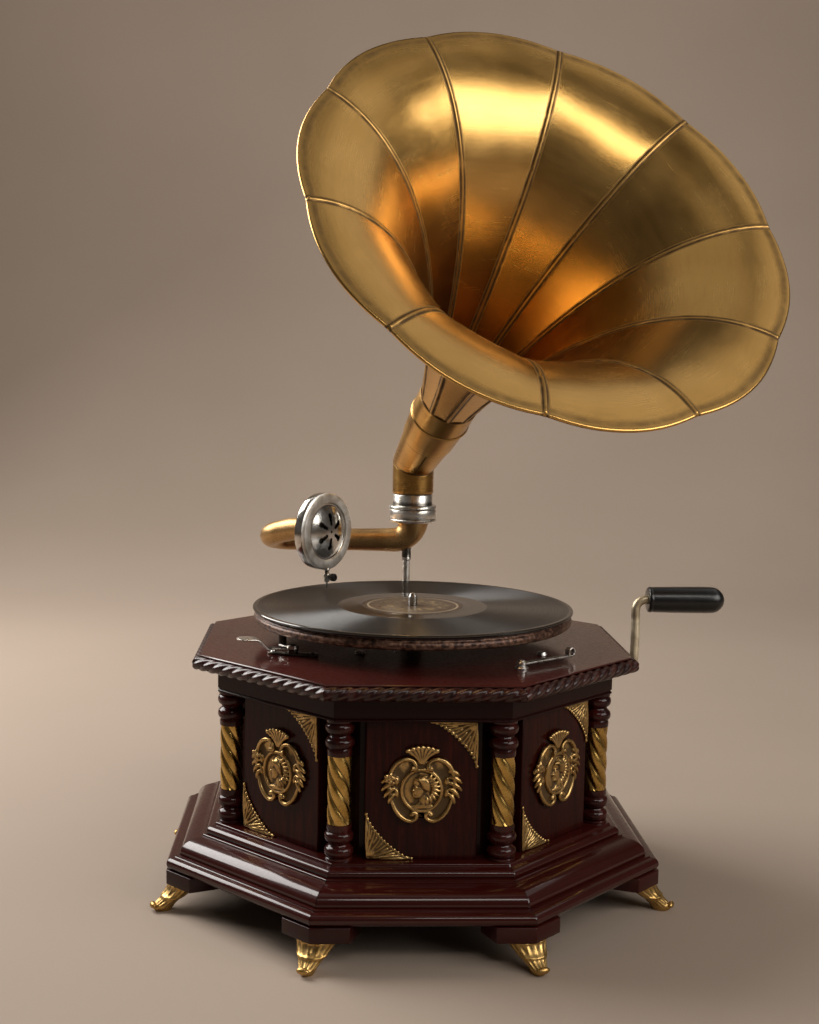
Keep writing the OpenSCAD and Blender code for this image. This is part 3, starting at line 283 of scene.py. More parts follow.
def all_round(obj, first, count=SIDES):
    """Copies of a piece all round the spindle, joined as one; no two boards show the same grain."""
    copies, grain_shift = [], Vector((0.31, 0.17))
    for i in range(count - 1, -1, -1):
        turned = twin(obj) if i else obj
        if i and "grain" in turned.data.uv_layers:
            for corner in turned.data.uv_layers["grain"].data:
                corner.uv += grain_shift * i
        turned.data.transform(Matrix.Rotation(math.radians(first + 360 * i / count), 4, "Z"))
        copies.append(turned)
    return join(*reversed(copies))


def mixed(tree, how, factor, a, b):
    """Two colours mixed; factor, a and b are sockets or values."""
    node = add(tree, "Mix", data_type="RGBA", blend_type=how)
    for number, value in ((0, factor), (6, a), (7, b)):
        feed(tree, node.inputs[number], value)
    return node.outputs[2]


def times(tree, a, b):
    """Two numbers multiplied."""
    return add(tree, "Math", operation="MULTIPLY", _0=a, _1=b).outputs[0]


def marked(tree, name):
    """A number that the mesh keeps at each of its points or corners."""
    return add(tree, "Attribute", attribute_name=name).outputs["Fac"]


def lacquered(name, grain, dark, red, shine, coat, worn=False):
    """Stained wood under gloss lacquer; grain is "uv" along a board or "up" along a turning."""
    made, tree, skin, spot = material(name)
    if grain == "uv":
        along = add(tree, "UVMap", uv_map="grain").outputs[0]
        stretch, fine = (9, 95, 1), (45, 1100, 1)
    else:
        along, stretch, fine = spot, (110, 110, 9), (1000, 1000, 40)
    figure = noise(tree, along, 1.0, 6.0, stretch, Roughness=0.6, Distortion=0.7)
    pores = noise(tree, along, 1.0, 2.0, fine)
    cloud = noise(tree, spot, 14.0, 3.0)
    between = [0.6 * a + 0.4 * b for a, b in zip(dark, red)]
    tone = ramp(tree, figure, (0.34, dark), (0.54, between), (0.74, red))
    tone = mixed(tree, "MULTIPLY", 0.65, tone, ramp(tree, pores, (0.36, 0.25), (0.5, 1.0)))
    tone = mixed(tree, "MULTIPLY", 0.5, tone, ramp(tree, cloud, (0.35, 0.55), (0.65, 1.0)))
    if grain == "uv":
        joint = times(tree, marked(tree, "mitre"), 1000.0)
        tone = mixed(tree, "MULTIPLY", 0.8, tone, ramp(tree, joint, (0.25, 0.15), (0.6, 1.0)))
    if worn:
        rub = times(tree, marked(tree, "crest"), noise(tree, spot, 160.0, 4.0))
        tone = mixed(tree, "MIX", ramp(tree, rub, (0.44, 0.0), (0.66, 0.5)), tone, (0.11, 0.040, 0.026))
    dust = noise(tree, spot, 420.0, 2.0)
    ripple = bump(tree, noise(tree, spot, 260.0, 2.0), 0.00010, 0.25)
    polish = bump(tree, noise(tree, spot, 120.0, 2.0), 0.00020, 0.16)
    set_skin(
        tree, skin, Base_Color=tone, Roughness=ramp(tree, dust, (0.45, 0.30), (0.72, 0.46)),
        Normal=bump(tree, pores, 0.00008, 0.3, ripple), Specular_IOR_Level=0.08,
        Coat_Normal=bump(tree, pores, 0.00006, 0.22, polish), Coat_Weight=coat, Coat_Roughness=shine,
        Coat_IOR=1.52)
    return made


def long_grain(obj, upright=False, flat=False):
    """A UV map in metres with U along the grain, and each corner's distance from its mitre."""
    mesh = obj.data
    layer = mesh.uv_layers.new(name="grain")
    joint = mesh.attributes.new("mitre", "FLOAT", "CORNER")
    eighth = math.pi / 4
    for face in mesh.polygons:
        side = 0.0 if upright else round(math.atan2(face.center.y, face.center.x) / eighth) * eighth
        for i in face.loop_indices:
            p = mesh.vertices[mesh.loops[i].vertex_index].co
            along = p.y * math.cos(side) - p.x * math.sin(side)
            out = p.x * math.cos(side) + p.y * math.sin(side)
            if flat and abs(face.normal.z) > 0.7:
                layer.data[i].uv, joint.data[i].value = (p.x, p.y), 1.0
            elif upright:
                layer.data[i].uv, joint.data[i].value = (p.z, p.y + p.x), 1.0
            else:
                layer.data[i].uv = (along + 0.43 * side, p.z - out)
                joint.data[i].value = 1.0 if flat else out * T22 - abs(along)
    return obj


foot_top, plinth_low, plinth_half, glue_gap = 19.0, 30.0, 183.5, 0.02
block_tip, block_face, block_depth, block_slope = plinth_half / C22, 27.0, 22.0, math.radians(90 - CORNER)
block_x, block_y = block_tip - block_face * math.cos(block_slope), block_face * math.sin(block_slope)
block_back = block_x - block_depth
foot_blocks = slab(
    "foot_blocks_wood",
    [(block_tip, 0), (block_x, block_y), (block_back, block_y), (block_back, -block_y), (block_x, -block_y)],
    foot_top, plinth_low - glue_gap, 0.7)
long_grain(foot_blocks, upright=True)
all_round(foot_blocks, CORNER)
mahogany_dark = lacquered(
    "mahogany_dark", "uv", (0.014, 0.0026, 0.0020), (0.060, 0.0080, 0.0055), shine=0.16, coat=0.4)
dress(foot_blocks, mahogany_dark)
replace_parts(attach(foot_blocks, "cabinet"), "foot_blocks")

# Bottom board and carcass: plain stained boards that carry the motor bay,
# seen only as dark gaps between the panels and the columns.
stained_wood = lacquered(
    "stained_wood", "up", (0.012, 0.0035, 0.0026), (0.032, 0.0075, 0.0055), shine=0.20, coat=0.2)
for name in ("bottom_board", "carcass_boards"):
    dress(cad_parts[name], stained_wood)

# Plinth: three mahogany mouldings run on the spindle moulder, mitred at the
# eight corners, glued in a stack and lacquered.


def arc(centre, size, first, last, steps=12):
    """Points on an ellipse about (half width, height), between two angles."""
    angles = [math.radians(first + (last - first) * i / steps) for i in range(steps + 1)]
    return [(centre[0] + size[0] * math.cos(a), centre[1] + size[1] * math.sin(a)) for a in angles]


def spun(name, profile, steps=64, first=0.0, smooth=32):
    """A profile of radius and height in millimetres, turned about the upright axis."""
    turn = math.radians(first)
    obj = line(name, [(r * math.cos(turn), r * math.sin(turn), z) for r, z in profile])
    bpy.ops.mesh.spin(steps=steps, angle=2 * math.pi, center=(0, 0, 0), axis=(0, 0, 1))
    return closed_up(obj, smooth)


def eight_sided(name, section, soften=0.5):
    """A moulding's section of half width and height, carried round eight mitred sides."""
    obj = spun(name, [(a / C22, z) for a, z in (*section, section[0])], SIDES, CORNER)
    work_on(obj)

    def on_mitre(middle, edge):
        a, b = (math.atan2(v.co.y, v.co.x) for v in edge.verts)
        return abs(a - b) < 0.01 and max(v.co.xy.length for v in edge.verts) > 0.05

    pick("EDGE", on_mitre)
    bpy.ops.mesh.bevel(offset=soften * MM, segments=2, affect="EDGES")
    return closed_up(obj, 32)


rail_top, moulding_top, cap_top = 40.0, 53.5, 61.5
mahogany = lacquered(
    "mahogany", "uv", (0.014, 0.0022, 0.0018), (0.150, 0.0150, 0.0090), shine=0.10, coat=0.75)
plinth_rails = eight_sided(
    "plinth_rails_wood",
    [(159.5, plinth_low), (178.9, plinth_low), *arc((179.2, 34.3), (4.3, 4.3), -84, 84),
     (177.6, 38.9), (177.2, 39.3), (177.2, rail_top), (159.5, rail_top)])
plinth_moulding = eight_sided(
    "plinth_moulding_wood",
    [(118.6, rail_top), (173.4, rail_top), (174, 40.4), *arc((158.6, 41), (15.4, 10.4), 0, 82),
     (158.9, 51.6), (158.4, 52.0), (157.6, 52.1), (157.6, 53.2), (157.2, moulding_top),
     (118.6, moulding_top)])
plinth_cap = eight_sided(
    "plinth_cap_wood",
    [(118, moulding_top), (154.2, moulding_top), *arc((150.6, 55.2), (4.5, 3.8), -10, 84),
     (150.2, 59.3), (149.2, 59.5), *arc((147.6, 60.5), (1, 1), 0, 90, 4), (118, cap_top)])
plinth = ((plinth_rails, "plinth_rails"), (plinth_moulding, "plinth_moulding"), (plinth_cap, "plinth_cap"))
for piece, node in plinth:
    long_grain(piece)
    dress(piece, mahogany)
    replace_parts(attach(piece, "cabinet"), node)

# Panels: eight veneered boards with upright grain, their edges eased, pinned
# to the carcass between the columns.
panel_face, panel_thick, panel_wide, panel_tall, panel_quirk = 140.0, 10.0, 78.0, 99.0, 1.1
clear()
bpy.ops.mesh.primitive_cube_add(
    size=1, location=((panel_face - panel_thick / 2) * MM, 0, (cap_top + panel_tall / 2) * MM),
    scale=(panel_thick * MM, panel_wide * MM, panel_tall * MM))
panels = bpy.context.object
panels.name = "panels_wood"
bpy.ops.object.transform_apply(location=True, scale=True)
work_on(panels)
pick("FACE", lambda m, f: f.normal.x > 0.9)
bpy.ops.mesh.inset(thickness=panel_quirk * MM)
pick("EDGE", lambda m, e: m.x > (panel_face - 1) * MM and e.calc_face_angle(0) > 0.5)
bpy.ops.mesh.bevel(offset=0.8 * MM, segments=3, affect="EDGES")
closed_up(panels, 35)
long_grain(panels, upright=True)
all_round(panels, 0)
panel_veneer = lacquered(
    "panel_veneer", "uv", (0.016, 0.0022, 0.0016), (0.056, 0.0066, 0.0040), shine=0.12, coat=0.16)
dress(panels, panel_veneer)
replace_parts(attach(panels, "cabinet"), "panels")

# Columns: turned mahogany with two beads at each end and a slim middle that
# the brass sleeve goes round; they stand on the plinth cap.
column_ring, column_height, bead_size = 148.29, panel_tall, (2.9, 3.9)
column_end = [
    (9.5, 0), (9.5, 1.4), (9.1, 1.9), *arc((7.4, 5.8), bead_size, -72, 72, 10), (7.5, 10.4), (7.2, 11),
    (7.5, 11.7), *arc((7.4, 16.3), bead_size, -72, 72, 10), (8.7, 21.2), (8.9, 22.4), (8.7, 25.2), (6.8, 25.5)]
column_head = [(r, column_height - z) for r, z in reversed(column_end)]
columns = spun("columns_wood", [(0, 0), *column_end, *column_head, (0, column_height)], 40)
columns.data.transform(Matrix.Translation((column_ring * MM, 0, cap_top * MM)))
all_round(columns, CORNER)
turned_mahogany = lacquered(
    "turned_mahogany", "up", (0.022, 0.0040, 0.0032), (0.085, 0.0110, 0.0080), shine=0.10, coat=0.5)
dress(columns, turned_mahogany)
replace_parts(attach(columns, "cabinet"), "columns")

# Frieze: eight mitred mahogany boards under the top, with a fine quirk along
# the lower edge.
frieze_low, frieze_top = cap_top + column_height, 180.0
frieze_boards = eight_sided(
    "frieze_boards_wood",
    [(127, frieze_low), (146.2, frieze_low), *arc((146, 161.5), (1, 1), -70, 60, 5), (146.1, 162.8),
     (146.1, 163.4), *arc((146.2, 164.2), (0.8, 0.7), -80, 0, 4), (147, 179.2), (146.4, frieze_top),
     (127, frieze_top)])
long_grain(frieze_boards)
frieze_mahogany = lacquered(
    "frieze_mahogany", "uv", (0.014, 0.0020, 0.0015), (0.046, 0.0056, 0.0036), shine=0.10, coat=0.16)
dress(frieze_boards, frieze_mahogany)
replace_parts(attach(frieze_boards, "cabinet"), "frieze_boards")

# Top board: one wide eight-sided board, polished, with a thin lip over the
# rope moulding that is let into its edge.
deck = 189.5
board_edge = [(155.6, frieze_top), (156.2, 180.6), (156.2, 187.8), (159.4, 187.9), (159.9, 188.4),
              (159.9, 189.0), (159.4, deck)]
top_board = spun(
    "top_board_wood", [(a / C22, z) for a, z in ((0, frieze_top), *board_edge, (0, deck))], SIDES, CORNER)
long_grain(top_board, flat=True)
deck_mahogany = lacquered(
    "deck_mahogany", "uv", (0.040, 0.0062, 0.0048), (0.118, 0.0160, 0.0110), shine=0.13, coat=0.75)
dress(top_board, deck_mahogany)
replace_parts(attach(top_board, "cabinet"), "top_board")

# Rope moulding: four-strand rope carved in mahogany, cut to eight mitred
# lengths and pinned in the groove round the top board; its crests are rubbed.


def mark(obj, name, values):
    """Keeps one number for each vertex, for the material to read."""
    obj.data.attributes.new(name, "FLOAT", "POINT").data.foreach_set("value", values)


def sheet(name, rows, smooth=40, **marks):
    """A flat grid bent through rows of points in millimetres, its meeting edges merged.

    Marks are numbers for the points, row by row, and uv is their flat map.
    """
    clear()
    bpy.ops.mesh.primitive_grid_add(x_subdivisions=len(rows[0]) - 1, y_subdivisions=len(rows) - 1, size=1)
    obj = bpy.context.object
    obj.name = obj.data.name = name
    obj.data.vertices.foreach_set("co", [c * MM for row in rows for p in row for c in p])
    for key, values in marks.items():
        values = [v for row in values for v in row]
        if key == "uv":
            for loop, corner in zip(obj.data.loops, obj.data.uv_layers[0].data):
                corner.uv = values[loop.vertex_index]
        else:
            mark(obj, key, values)
    obj.data.update()
    work_on(obj)
    return closed_up(obj, smooth)


def capped(obj, smooth):
    """Closes the open ends of a bent sheet."""
    work_on(obj)
    bpy.ops.mesh.select_all(action="DESELECT")
    bpy.ops.mesh.select_non_manifold()
    bpy.ops.mesh.fill_holes(sides=0)
    return closed_up(obj, smooth)


rope_radius, rope_half, rope_height, rope_cut, rope_turns = 5.0, 160.6, 183.2, 1.35, 3.2
rope_steps, rope_round, mitre_gap = 120, 32, 0.1


def strand(angle):
    """Height of the four strands across the rope, from 0 in a valley to 1 on a crest."""
    return abs(math.cos(2 * angle)) ** 0.75


rope_rows = []
for j in range(rope_steps + 1):
    u = 2 * j / rope_steps - 1
    row = []
    for k in range(rope_round + 1):
        a = 2 * math.pi * k / rope_round
        r = rope_radius - rope_cut * (1 - strand(a + math.pi * rope_turns * u))
        x = rope_half + r * math.cos(a)
        row.append((x, -u * (x * T22 - mitre_gap), rope_height + r * math.sin(a)))
    rope_rows.append(row)
rope = capped(sheet("rope_moulding_wood", rope_rows, 60), 60)
rope_reach = [math.hypot(v.co.x / MM - rope_half, v.co.z / MM - rope_height) for v in rope.data.vertices]
mark(rope, "crest", [max(0.0, min(1.0, (r - rope_radius + rope_cut) / rope_cut)) for r in rope_reach])
all_round(rope, 0)
carved_mahogany = lacquered(
    "carved_mahogany", "up", (0.016, 0.0032, 0.0026), (0.060, 0.0090, 0.0068), shine=0.24, coat=0.7, worn=True)
dress(rope, carved_mahogany)
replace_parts(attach(rope, "cabinet"), "rope_moulding")

# Feet: eight cast brass claw feet, fluted like a shell above and below a
# ridge, with a rolled toe; one screw holds each to its block.


def passing(table, t):
    """Smooth values through rows of (place, values...), at a place."""
    i = max(0, min(len(table) - 2, sum(1 for row in table[1:-1] if row[0] <= t)))
    a, b = table[i], table[i + 1]
    before, after = table[max(0, i - 1)], table[min(len(table) - 1, i + 2)]
    u = (t - a[0]) / (b[0] - a[0])
    out = []
    for k in range(1, len(a)):
        leave = (b[k] - before[k]) / (b[0] - before[0]) * (b[0] - a[0])
        reach = (after[k] - a[k]) / (after[0] - a[0]) * (b[0] - a[0])
        out.append((2 * u**3 - 3 * u**2 + 1) * a[k] + (u**3 - 2 * u**2 + u) * leave
                   + (3 * u**2 - 2 * u**3) * b[k] + (u**3 - u**2) * reach)
    return out


def bell_of(t, middle, width):
    """A smooth rise and fall about a place."""
    return math.exp(-(((t - middle) / width) ** 2))


def relief(obj, rounds, scale):
    """Marks each vertex from 0 in a hollow to 1 on a crest, by its height over its neighbours."""
    mesh = obj.data
    count = len(mesh.vertices)
    at = np.empty(count * 3)
    mesh.vertices.foreach_get("co", at)
    out = np.empty(count * 3)
    mesh.vertices.foreach_get("normal", out)
    pairs = np.empty(len(mesh.edges) * 2, int)
    mesh.edges.foreach_get("vertices", pairs)
    at, out, pairs = at.reshape(-1, 3), out.reshape(-1, 3), pairs.reshape(-1, 2)
    near = np.bincount(pairs.ravel(), minlength=count)[:, None].clip(1)
    mean = at.copy()
    for _ in range(rounds):
        total = np.zeros_like(mean)
        np.add.at(total, pairs[:, 0], mean[pairs[:, 1]])
        np.add.at(total, pairs[:, 1], mean[pairs[:, 0]])
        mean = total / near
    rise = ((at - mean) * out).sum(1) / (scale * MM)
    mark(obj, "crest", np.clip(0.5 + 0.5 * rise, 0, 1))


def aged_brass(name, bright, dull, grime, rough, low=0.32, high=0.58):
    """Brass rubbed bright on its crests, with brown grime left in its hollows; on the column sleeves the same
    dark in the grooves is painted shade.
    """
    made, tree, skin, spot = material(name)
    tone = ramp(tree, noise(tree, spot, 60.0, 5.0), (0.35, dull), (0.65, bright))
    specks = noise(tree, spot, 900.0, 2.0)
    tone = mixed(tree, "MULTIPLY", 0.5, tone, ramp(tree, specks, (0.30, 0.35), (0.46, 1.0)))
    patchy = times(tree, noise(tree, spot, 220.0, 3.0), 0.16)
    crest = add(tree, "Math", operation="ADD", _0=marked(tree, "crest"), _1=patchy).outputs[0]
    dirt = ramp(tree, crest, (low, 0.92), (high, 0.0))
    rubbed = ramp(tree, noise(tree, spot, 150.0, 4.0), (0.3, rough - 0.08), (0.7, rough + 0.12))
    set_skin(
        tree, skin, Base_Color=mixed(tree, "MIX", dirt, tone, grime),
        Metallic=ramp(tree, dirt, (0.0, 1.0), (1.0, 0.55)),
        Roughness=mixed(tree, "MIX", dirt, rubbed, (0.6, 0.6, 0.6)),
        Normal=bump(tree, noise(tree, spot, 380.0, 3.0), 0.00012, 0.35))
    return made


# Down the foot: share of its height, height, back, front and half width.
foot_table = [(0, foot_top, 172.8, 196.0, 15.2), (0.25, 14.4, 178.6, 198.6, 12.7),
              (0.5, 9.0, 187.2, 202.8, 9.2), (0.72, 4.8, 191.4, 207.4, 6.4),
              (0.86, 2.2, 193.2, 208.6, 5.4), (1, 0, 194.8, 206.6, 4.3)]
foot_rings, foot_round, foot_flutes = 48, 96, 14
foot_rows = []
for j in range(foot_rings + 1):
    t = j / foot_rings
    z, back, front, half = passing(foot_table, t)
    flute = 0.95 * (bell_of(t, 0.2, 0.16) + bell_of(t, 0.64, 0.14))
    ridge = 0.9 * bell_of(t, 0.42, 0.045) + 0.5 * bell_of(t, 0.02, 0.03)
    row = []
    for k in range(foot_round + 1):
        a = 2 * math.pi * k / foot_round
        ahead = max(0.0, math.cos(0.62 * (a if a < math.pi else a - 2 * math.pi))) ** 0.5
        out = ridge * ahead - flute * ahead * (0.5 - 0.5 * math.cos(foot_flutes * a)) ** 0.8
        lift = (1.2 * bell_of(t, 0.8, 0.08)) * max(0.0, math.cos(a)) ** 2
        x = (back + front) / 2 + ((front - back) / 2 + out) * math.cos(a)
        row.append((x, (half + 0.8 * out) * math.sin(a), z + lift))
    foot_rows.append(row)
feet = capped(sheet("feet_brass", foot_rows, 50), 50)
clear()
bpy.ops.mesh.primitive_uv_sphere_add(
    segments=20, ring_count=12, radius=1, location=(208.6 * MM, 0, 4.7 * MM),
    scale=(2.3 * MM, 4.7 * MM, 2.4 * MM))
toe_roll = bpy.context.object
bpy.ops.object.transform_apply(location=True, scale=True)
bpy.ops.object.shade_smooth()
join(feet, toe_roll)
relief(feet, rounds=5, scale=0.4)
all_round(feet, CORNER)
foot_brass = aged_brass(
    "foot_brass", (0.66, 0.43, 0.155), (0.44, 0.265, 0.085), (0.050, 0.026, 0.010), rough=0.34)
dress(feet, foot_brass)
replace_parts(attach(feet, "cabinet"), "feet")

# Column sleeves: thin brass pressed in twisted round ribs, closed round the
# column and held between its beads.
sleeve_low, sleeve_high, sleeve_round, sleeve_bore = 87.1, 136.9, 8.5, 6.85
sleeve_ribs, sleeve_twist, rib_depth = 5, math.radians(250), 1.6
sleeve_rings, sleeve_points, rib_share = 54, 120, 0.97
valley = math.sqrt(1 - rib_share**2)
sleeve_rows, sleeve_crests = [], []
for j in range(sleeve_rings + 1):
    t = min(1.0, max(0.0, (j - 1) / (sleeve_rings - 2)))
    lip = bell_of(t, 0, 0.02) + bell_of(t, 1, 0.02)
    row, crests = [], []
    for k in range(sleeve_points + 1):
        a = 2 * math.pi * k / sleeve_points
        across = 2 * ((sleeve_ribs * (a + sleeve_twist * t) / (2 * math.pi)) % 1.0) - 1
        rib = (math.sqrt(1 - (rib_share * across) ** 2) - valley) / (1 - valley)
        r = sleeve_round - rib_depth * (1 - rib) * (1 - 0.8 * lip)
        if j in (0, sleeve_rings):
            r = sleeve_bore
        z = sleeve_low + (sleeve_high - sleeve_low) * t
        row.append((column_ring + r * math.cos(a), r * math.sin(a), z))
        crests.append(rib)
    sleeve_rows.append(row)
    sleeve_crests.append(crests)
sleeves = sheet("column_sleeves_brass", sleeve_rows, 60, crest=sleeve_crests)
all_round(sleeves, CORNER)
# Painted shade: the grime colour is set to reach only the narrow grooves, so the grooves between the ribs are
# darkened.
sleeve_brass_groove_shade = aged_brass(
    "sleeve_brass_groove_shade", (0.72, 0.47, 0.14), (0.48, 0.29, 0.075), (0.055, 0.026, 0.009),
    rough=0.22, low=0.26, high=0.56)
dress(sleeves, sleeve_brass_groove_shade)
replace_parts(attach(sleeves, "cabinet"), "column_sleeves")

# Medallions: stamped brass cartouches with a shell above, scrolls and leaf
# sprays at the sides and a plain classical head in an oval bead, pinned to
# the panels.


def bead(at, size, turn=0.0):
    """A rounded lump, in millimetres, turned in its plane."""
    clear()
    bpy.ops.mesh.primitive_uv_sphere_add(
        segments=16, ring_count=10, radius=1, location=[v * MM for v in at],
        rotation=(0, 0, math.radians(turn)), scale=[v * MM for v in size])
    bpy.ops.object.transform_apply(location=True, rotation=True, scale=True)
    return bpy.context.object


def vine(points, thick):
    """A round stem through points in millimetres, with a thickness at each."""
    path = bpy.data.curves.new("vine", "CURVE")
    path.dimensions = "3D"
    path.bevel_depth, path.bevel_resolution, path.resolution_u = MM, 3, 6
    path.use_fill_caps = True
    spline = path.splines.new("NURBS")
    spline.points.add(len(points) - 1)
    for knot, p, r in zip(spline.points, points, thick):
        knot.co = (*[v * MM for v in p], 1)
        knot.radius = r
    spline.use_endpoint_u, spline.order_u = True, 3
    obj = bpy.data.objects.new("vine", path)
    bpy.context.scene.collection.objects.link(obj)
    choose(obj)
    bpy.ops.object.convert(target="MESH")
    return bpy.context.object


def cast(obj, grain, keep, back):
    """Fuses joined parts into one casting, calms its surface, thins its faces and cuts its back flat."""
    choose(obj)
    fuse = obj.modifiers.new("fuse", "REMESH")
    fuse.mode, fuse.voxel_size = "VOXEL", grain * MM
    even = obj.modifiers.new("even", "SMOOTH")
    even.factor, even.iterations = 0.5, 2
    thin = obj.modifiers.new("thin", "DECIMATE")
    thin.ratio = keep
    for step in ("fuse", "even", "thin"):
        bpy.ops.object.modifier_apply(modifier=step)
    bpy.ops.object.shade_smooth()
    work_on(obj)
    bpy.ops.mesh.bisect(
        plane_co=(0, 0, back * MM), plane_no=(0, 0, -1), use_fill=True, clear_outer=True)
    return closed_up(obj)


def on_panel(across, up, turn=0.0):
    """From an ornament's own plane to the face of the panel that looks along +X."""
    place = Matrix(((0, 0, 1, panel_face * MM), (1, 0, 0, across * MM), (0, 1, 0, up * MM), (0, 0, 0, 1)))
    return place @ Matrix.Rotation(math.radians(turn), 4, "Z")


parts = []
for i in range(-3, 4):
    droop = i * i
    parts.append(vine(
        [(0.3 * i, 14.2, 2.6), (1.2 * i, 19.0, 2.2), (2.5 * i, 23.6 - 0.20 * droop, 2.5),
         (3.4 * i, 26.4 - 0.26 * droop, 2.9)], (0.7, 0.9, 1.35, 1.65)))
    parts.append(bead((3.4 * i, 25.9 - 0.26 * droop, 2.9), (1.75, 1.75, 1.6)))
outline = [(0, 15), (8, 16.6), (16.5, 14), (21.4, 7), (22.4, -2), (21, -11), (17.6, -19), (11.6, -24.8),
           (5.2, -25.4), (2.6, -21.5), (0, -20)]
parts.append(slab("cartouche", outline + [(-x, y) for x, y in outline[-2:0:-1]], 0.05, 1.5))
upper_scroll = ((7.4, 11.4, 3.2), (5.0, 10.6, 3.2), (4.0, 13.4, 3.0), (6.4, 17.0, 2.8), (12.0, 18.0, 2.6),
                (18.4, 14.4, 2.5), (22.2, 7.0, 2.3), (23.2, -1.0, 2.1), (21.6, -9.0, 1.9))
lower_scroll = ((21.4, -9.0, 1.9), (19.6, -16.0, 2.2), (15.4, -22.6, 2.4), (8.8, -26.8, 2.5),
                (3.4, -24.8, 2.6), (3.0, -20.8, 2.8), (6.6, -20.0, 3.0), (6.6, -22.2, 3.0))
leaves = ((26.0, 5.4, 9.0), (27.7, 0.4, 5.0), (27.7, -5.0, 1.0), (25.9, -10.0, -3.0), (22.8, -14.2, -7.0))
for s in (-1, 1):
    for scroll, thick in ((upper_scroll, (2.2, 1.9, 1.3, 1.3, 1.6, 1.7, 1.6, 1.4, 1.0)),
                          (lower_scroll, (1.0, 1.4, 1.7, 1.7, 1.5, 1.5, 1.7, 1.9))):
        parts.append(vine([(s * x, y, z) for x, y, z in scroll], thick))
    for y, length in ((2.0, 3.2), (-6.5, 3.4)):
        parts.append(bead((s * 17.2, y, 1.9), (1.6, length, 1.6), -8 * s))
    for x, y, root in leaves:
        if s > 0 or y < 1:
            middle = (s * (0.5 * x + 10.6), (root + y) / 2 + 2.0, 3.0)
            parts.append(vine([(s * 18.4, root, 1.9), middle, (s * x, y, 1.7)], (1.1, 2.3, 0.9)))
for i in range(6):
    a, r = math.radians(72 * i), 2.6 * (i > 0)
    parts.append(bead((-22.6 + r * math.cos(a), 4.2 + r * math.sin(a), 3.2), (1.7, 1.7, 1.5)))
oval_place = (0, -4.4 * MM, 2.6 * MM)
clear()
bpy.ops.mesh.primitive_torus_add(
    major_segments=64, minor_segments=12, major_radius=14.2 * MM, minor_radius=1.2 * MM, location=oval_place)
parts.append(bpy.context.object)
bpy.ops.transform.resize(value=(0.97, 1.03, 1.0), center_override=oval_place)
bpy.ops.object.transform_apply(location=True, rotation=True, scale=True)
parts.append(bead((0, -4.4, 1.2), (13.4, 14.2, 1.5)))
profile = [(-4.4, 4.2), (-5.6, 2.2), (-5.9, 0), (-5.4, -1.1), (-6.4, -2.9), (-7.7, -4.4), (-6.2, -5.1),
           (-6.5, -6.1), (-6.0, -6.6), (-6.3, -7.3), (-5.7, -7.9), (-6.0, -9.0), (-4.8, -9.8), (-1.8, -9.2),
           (-1.6, -12.4), (-4.6, -14.6), (-6.8, -16.4), (7.6, -15.6), (5.4, -11.0), (5.0, -6.0), (7.0, -1.0),
           (6.6, 3.4), (3.6, 6.4), (-1.0, 6.8)]
parts.append(slab("cameo", profile, 1.4, 3.4, 0.5))
for at, size, turn in (
        ((-2.2, -4.8, 3.0), (3.6, 4.6, 1.5), 0), ((-2.6, 1.8, 3.1), (3.2, 3.0, 1.5), 0),
        ((-2.8, -8.0, 3.1), (2.8, 1.7, 1.4), 12), ((-4.2, -1.8, 4.0), (1.1, 0.55, 0.7), 8),
        ((-4.2, -0.2, 4.0), (1.7, 0.5, 0.6), 12), ((-6.2, -4.2, 3.4), (1.1, 0.9, 1.0), 30),
        ((1.9, -11.6, 2.5), (3.2, 5.6, 1.5), 8), ((1.6, 1.4, 3.0), (5.6, 5.2, 1.7), 0)):
    parts.append(bead(at, size, turn))
for i in range(4):
    parts.append(vine(
        [(-5.2 + 1.7 * i, 3.6 + 0.7 * i, 3.6), (-2.4 + 1.9 * i, 4.6 - 0.3 * i, 5.2),
         (0.6 + 1.4 * i, 1.6 - 1.0 * i, 5.0), (1.6 + 1.1 * i, -3.0 - 0.6 * i, 4.0)], (0.7, 1.1, 1.1, 0.8)))
for i in range(9):
    a = math.radians(62 - 16.5 * i)
    parts.append(bead(
        (9.2 * math.cos(a) + 0.6, 9.0 * math.sin(a) - 3.2, 3.2), (3.2, 1.25, 1.7), math.degrees(a) - 14))
for i in range(3):
    parts.append(vine(
        [(-7.2 + i, -15.4 - 0.7 * i, 2.6), (-1.0 + i, -15.8 - 0.3 * i, 3.8), (6.6, -12.6 - 1.6 * i, 2.8)],
        (0.7, 0.9, 0.7)))
medallions = join(*reversed(parts))
medallions.name = medallions.data.name = "medallions_brass"
cast(medallions, grain=0.36, keep=0.21, back=0.05)
relief(medallions, rounds=5, scale=0.30)
medallions.data.transform(on_panel(0, 116))
all_round(medallions, 0)
medallion_brass = aged_brass(
    "medallion_brass", (0.64, 0.42, 0.170), (0.42, 0.260, 0.095), (0.075, 0.042, 0.017),
    rough=0.32, low=0.36, high=0.66)
dress(medallions, medallion_brass)
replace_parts(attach(medallions, "cabinet"), "medallions")

# Corner ornaments: small stamped brass spandrels, a fan of ribs from the
# corner and a scalloped hollow edge, pinned low left and high right on a panel.
leg, hollow_depth, scallops, corner_gap = 32.0, 3.4, 14, 1.0
hollow = []
for i in range(scallops + 1):
    u = i / scallops
    sag = hollow_depth * math.sin(math.pi * u) ** 0.6
    hollow.append((leg * (1 - u) - sag, leg * u - sag))
spandrel = slab("corner_ornaments_brass", [(0, 0), *hollow], 0.05, 1.0)
parts = [spandrel]
for i, (x, y) in enumerate(hollow):
    reach, turn = math.hypot(x, y), math.degrees(math.atan2(y, x))
    if i % 2 == 0:
        parts.append(bead((0.56 * x, 0.56 * y, 1.1), (0.42 * reach, 0.9, 0.95), turn))
    parts.append(bead((0.985 * x, 0.985 * y, 0.9), (1.25, 1.25, 0.85)))
    if i % 2:
        parts.append(bead((0.74 * x, 0.74 * y, 1.0), (0.17 * reach, 0.75, 0.8), turn))
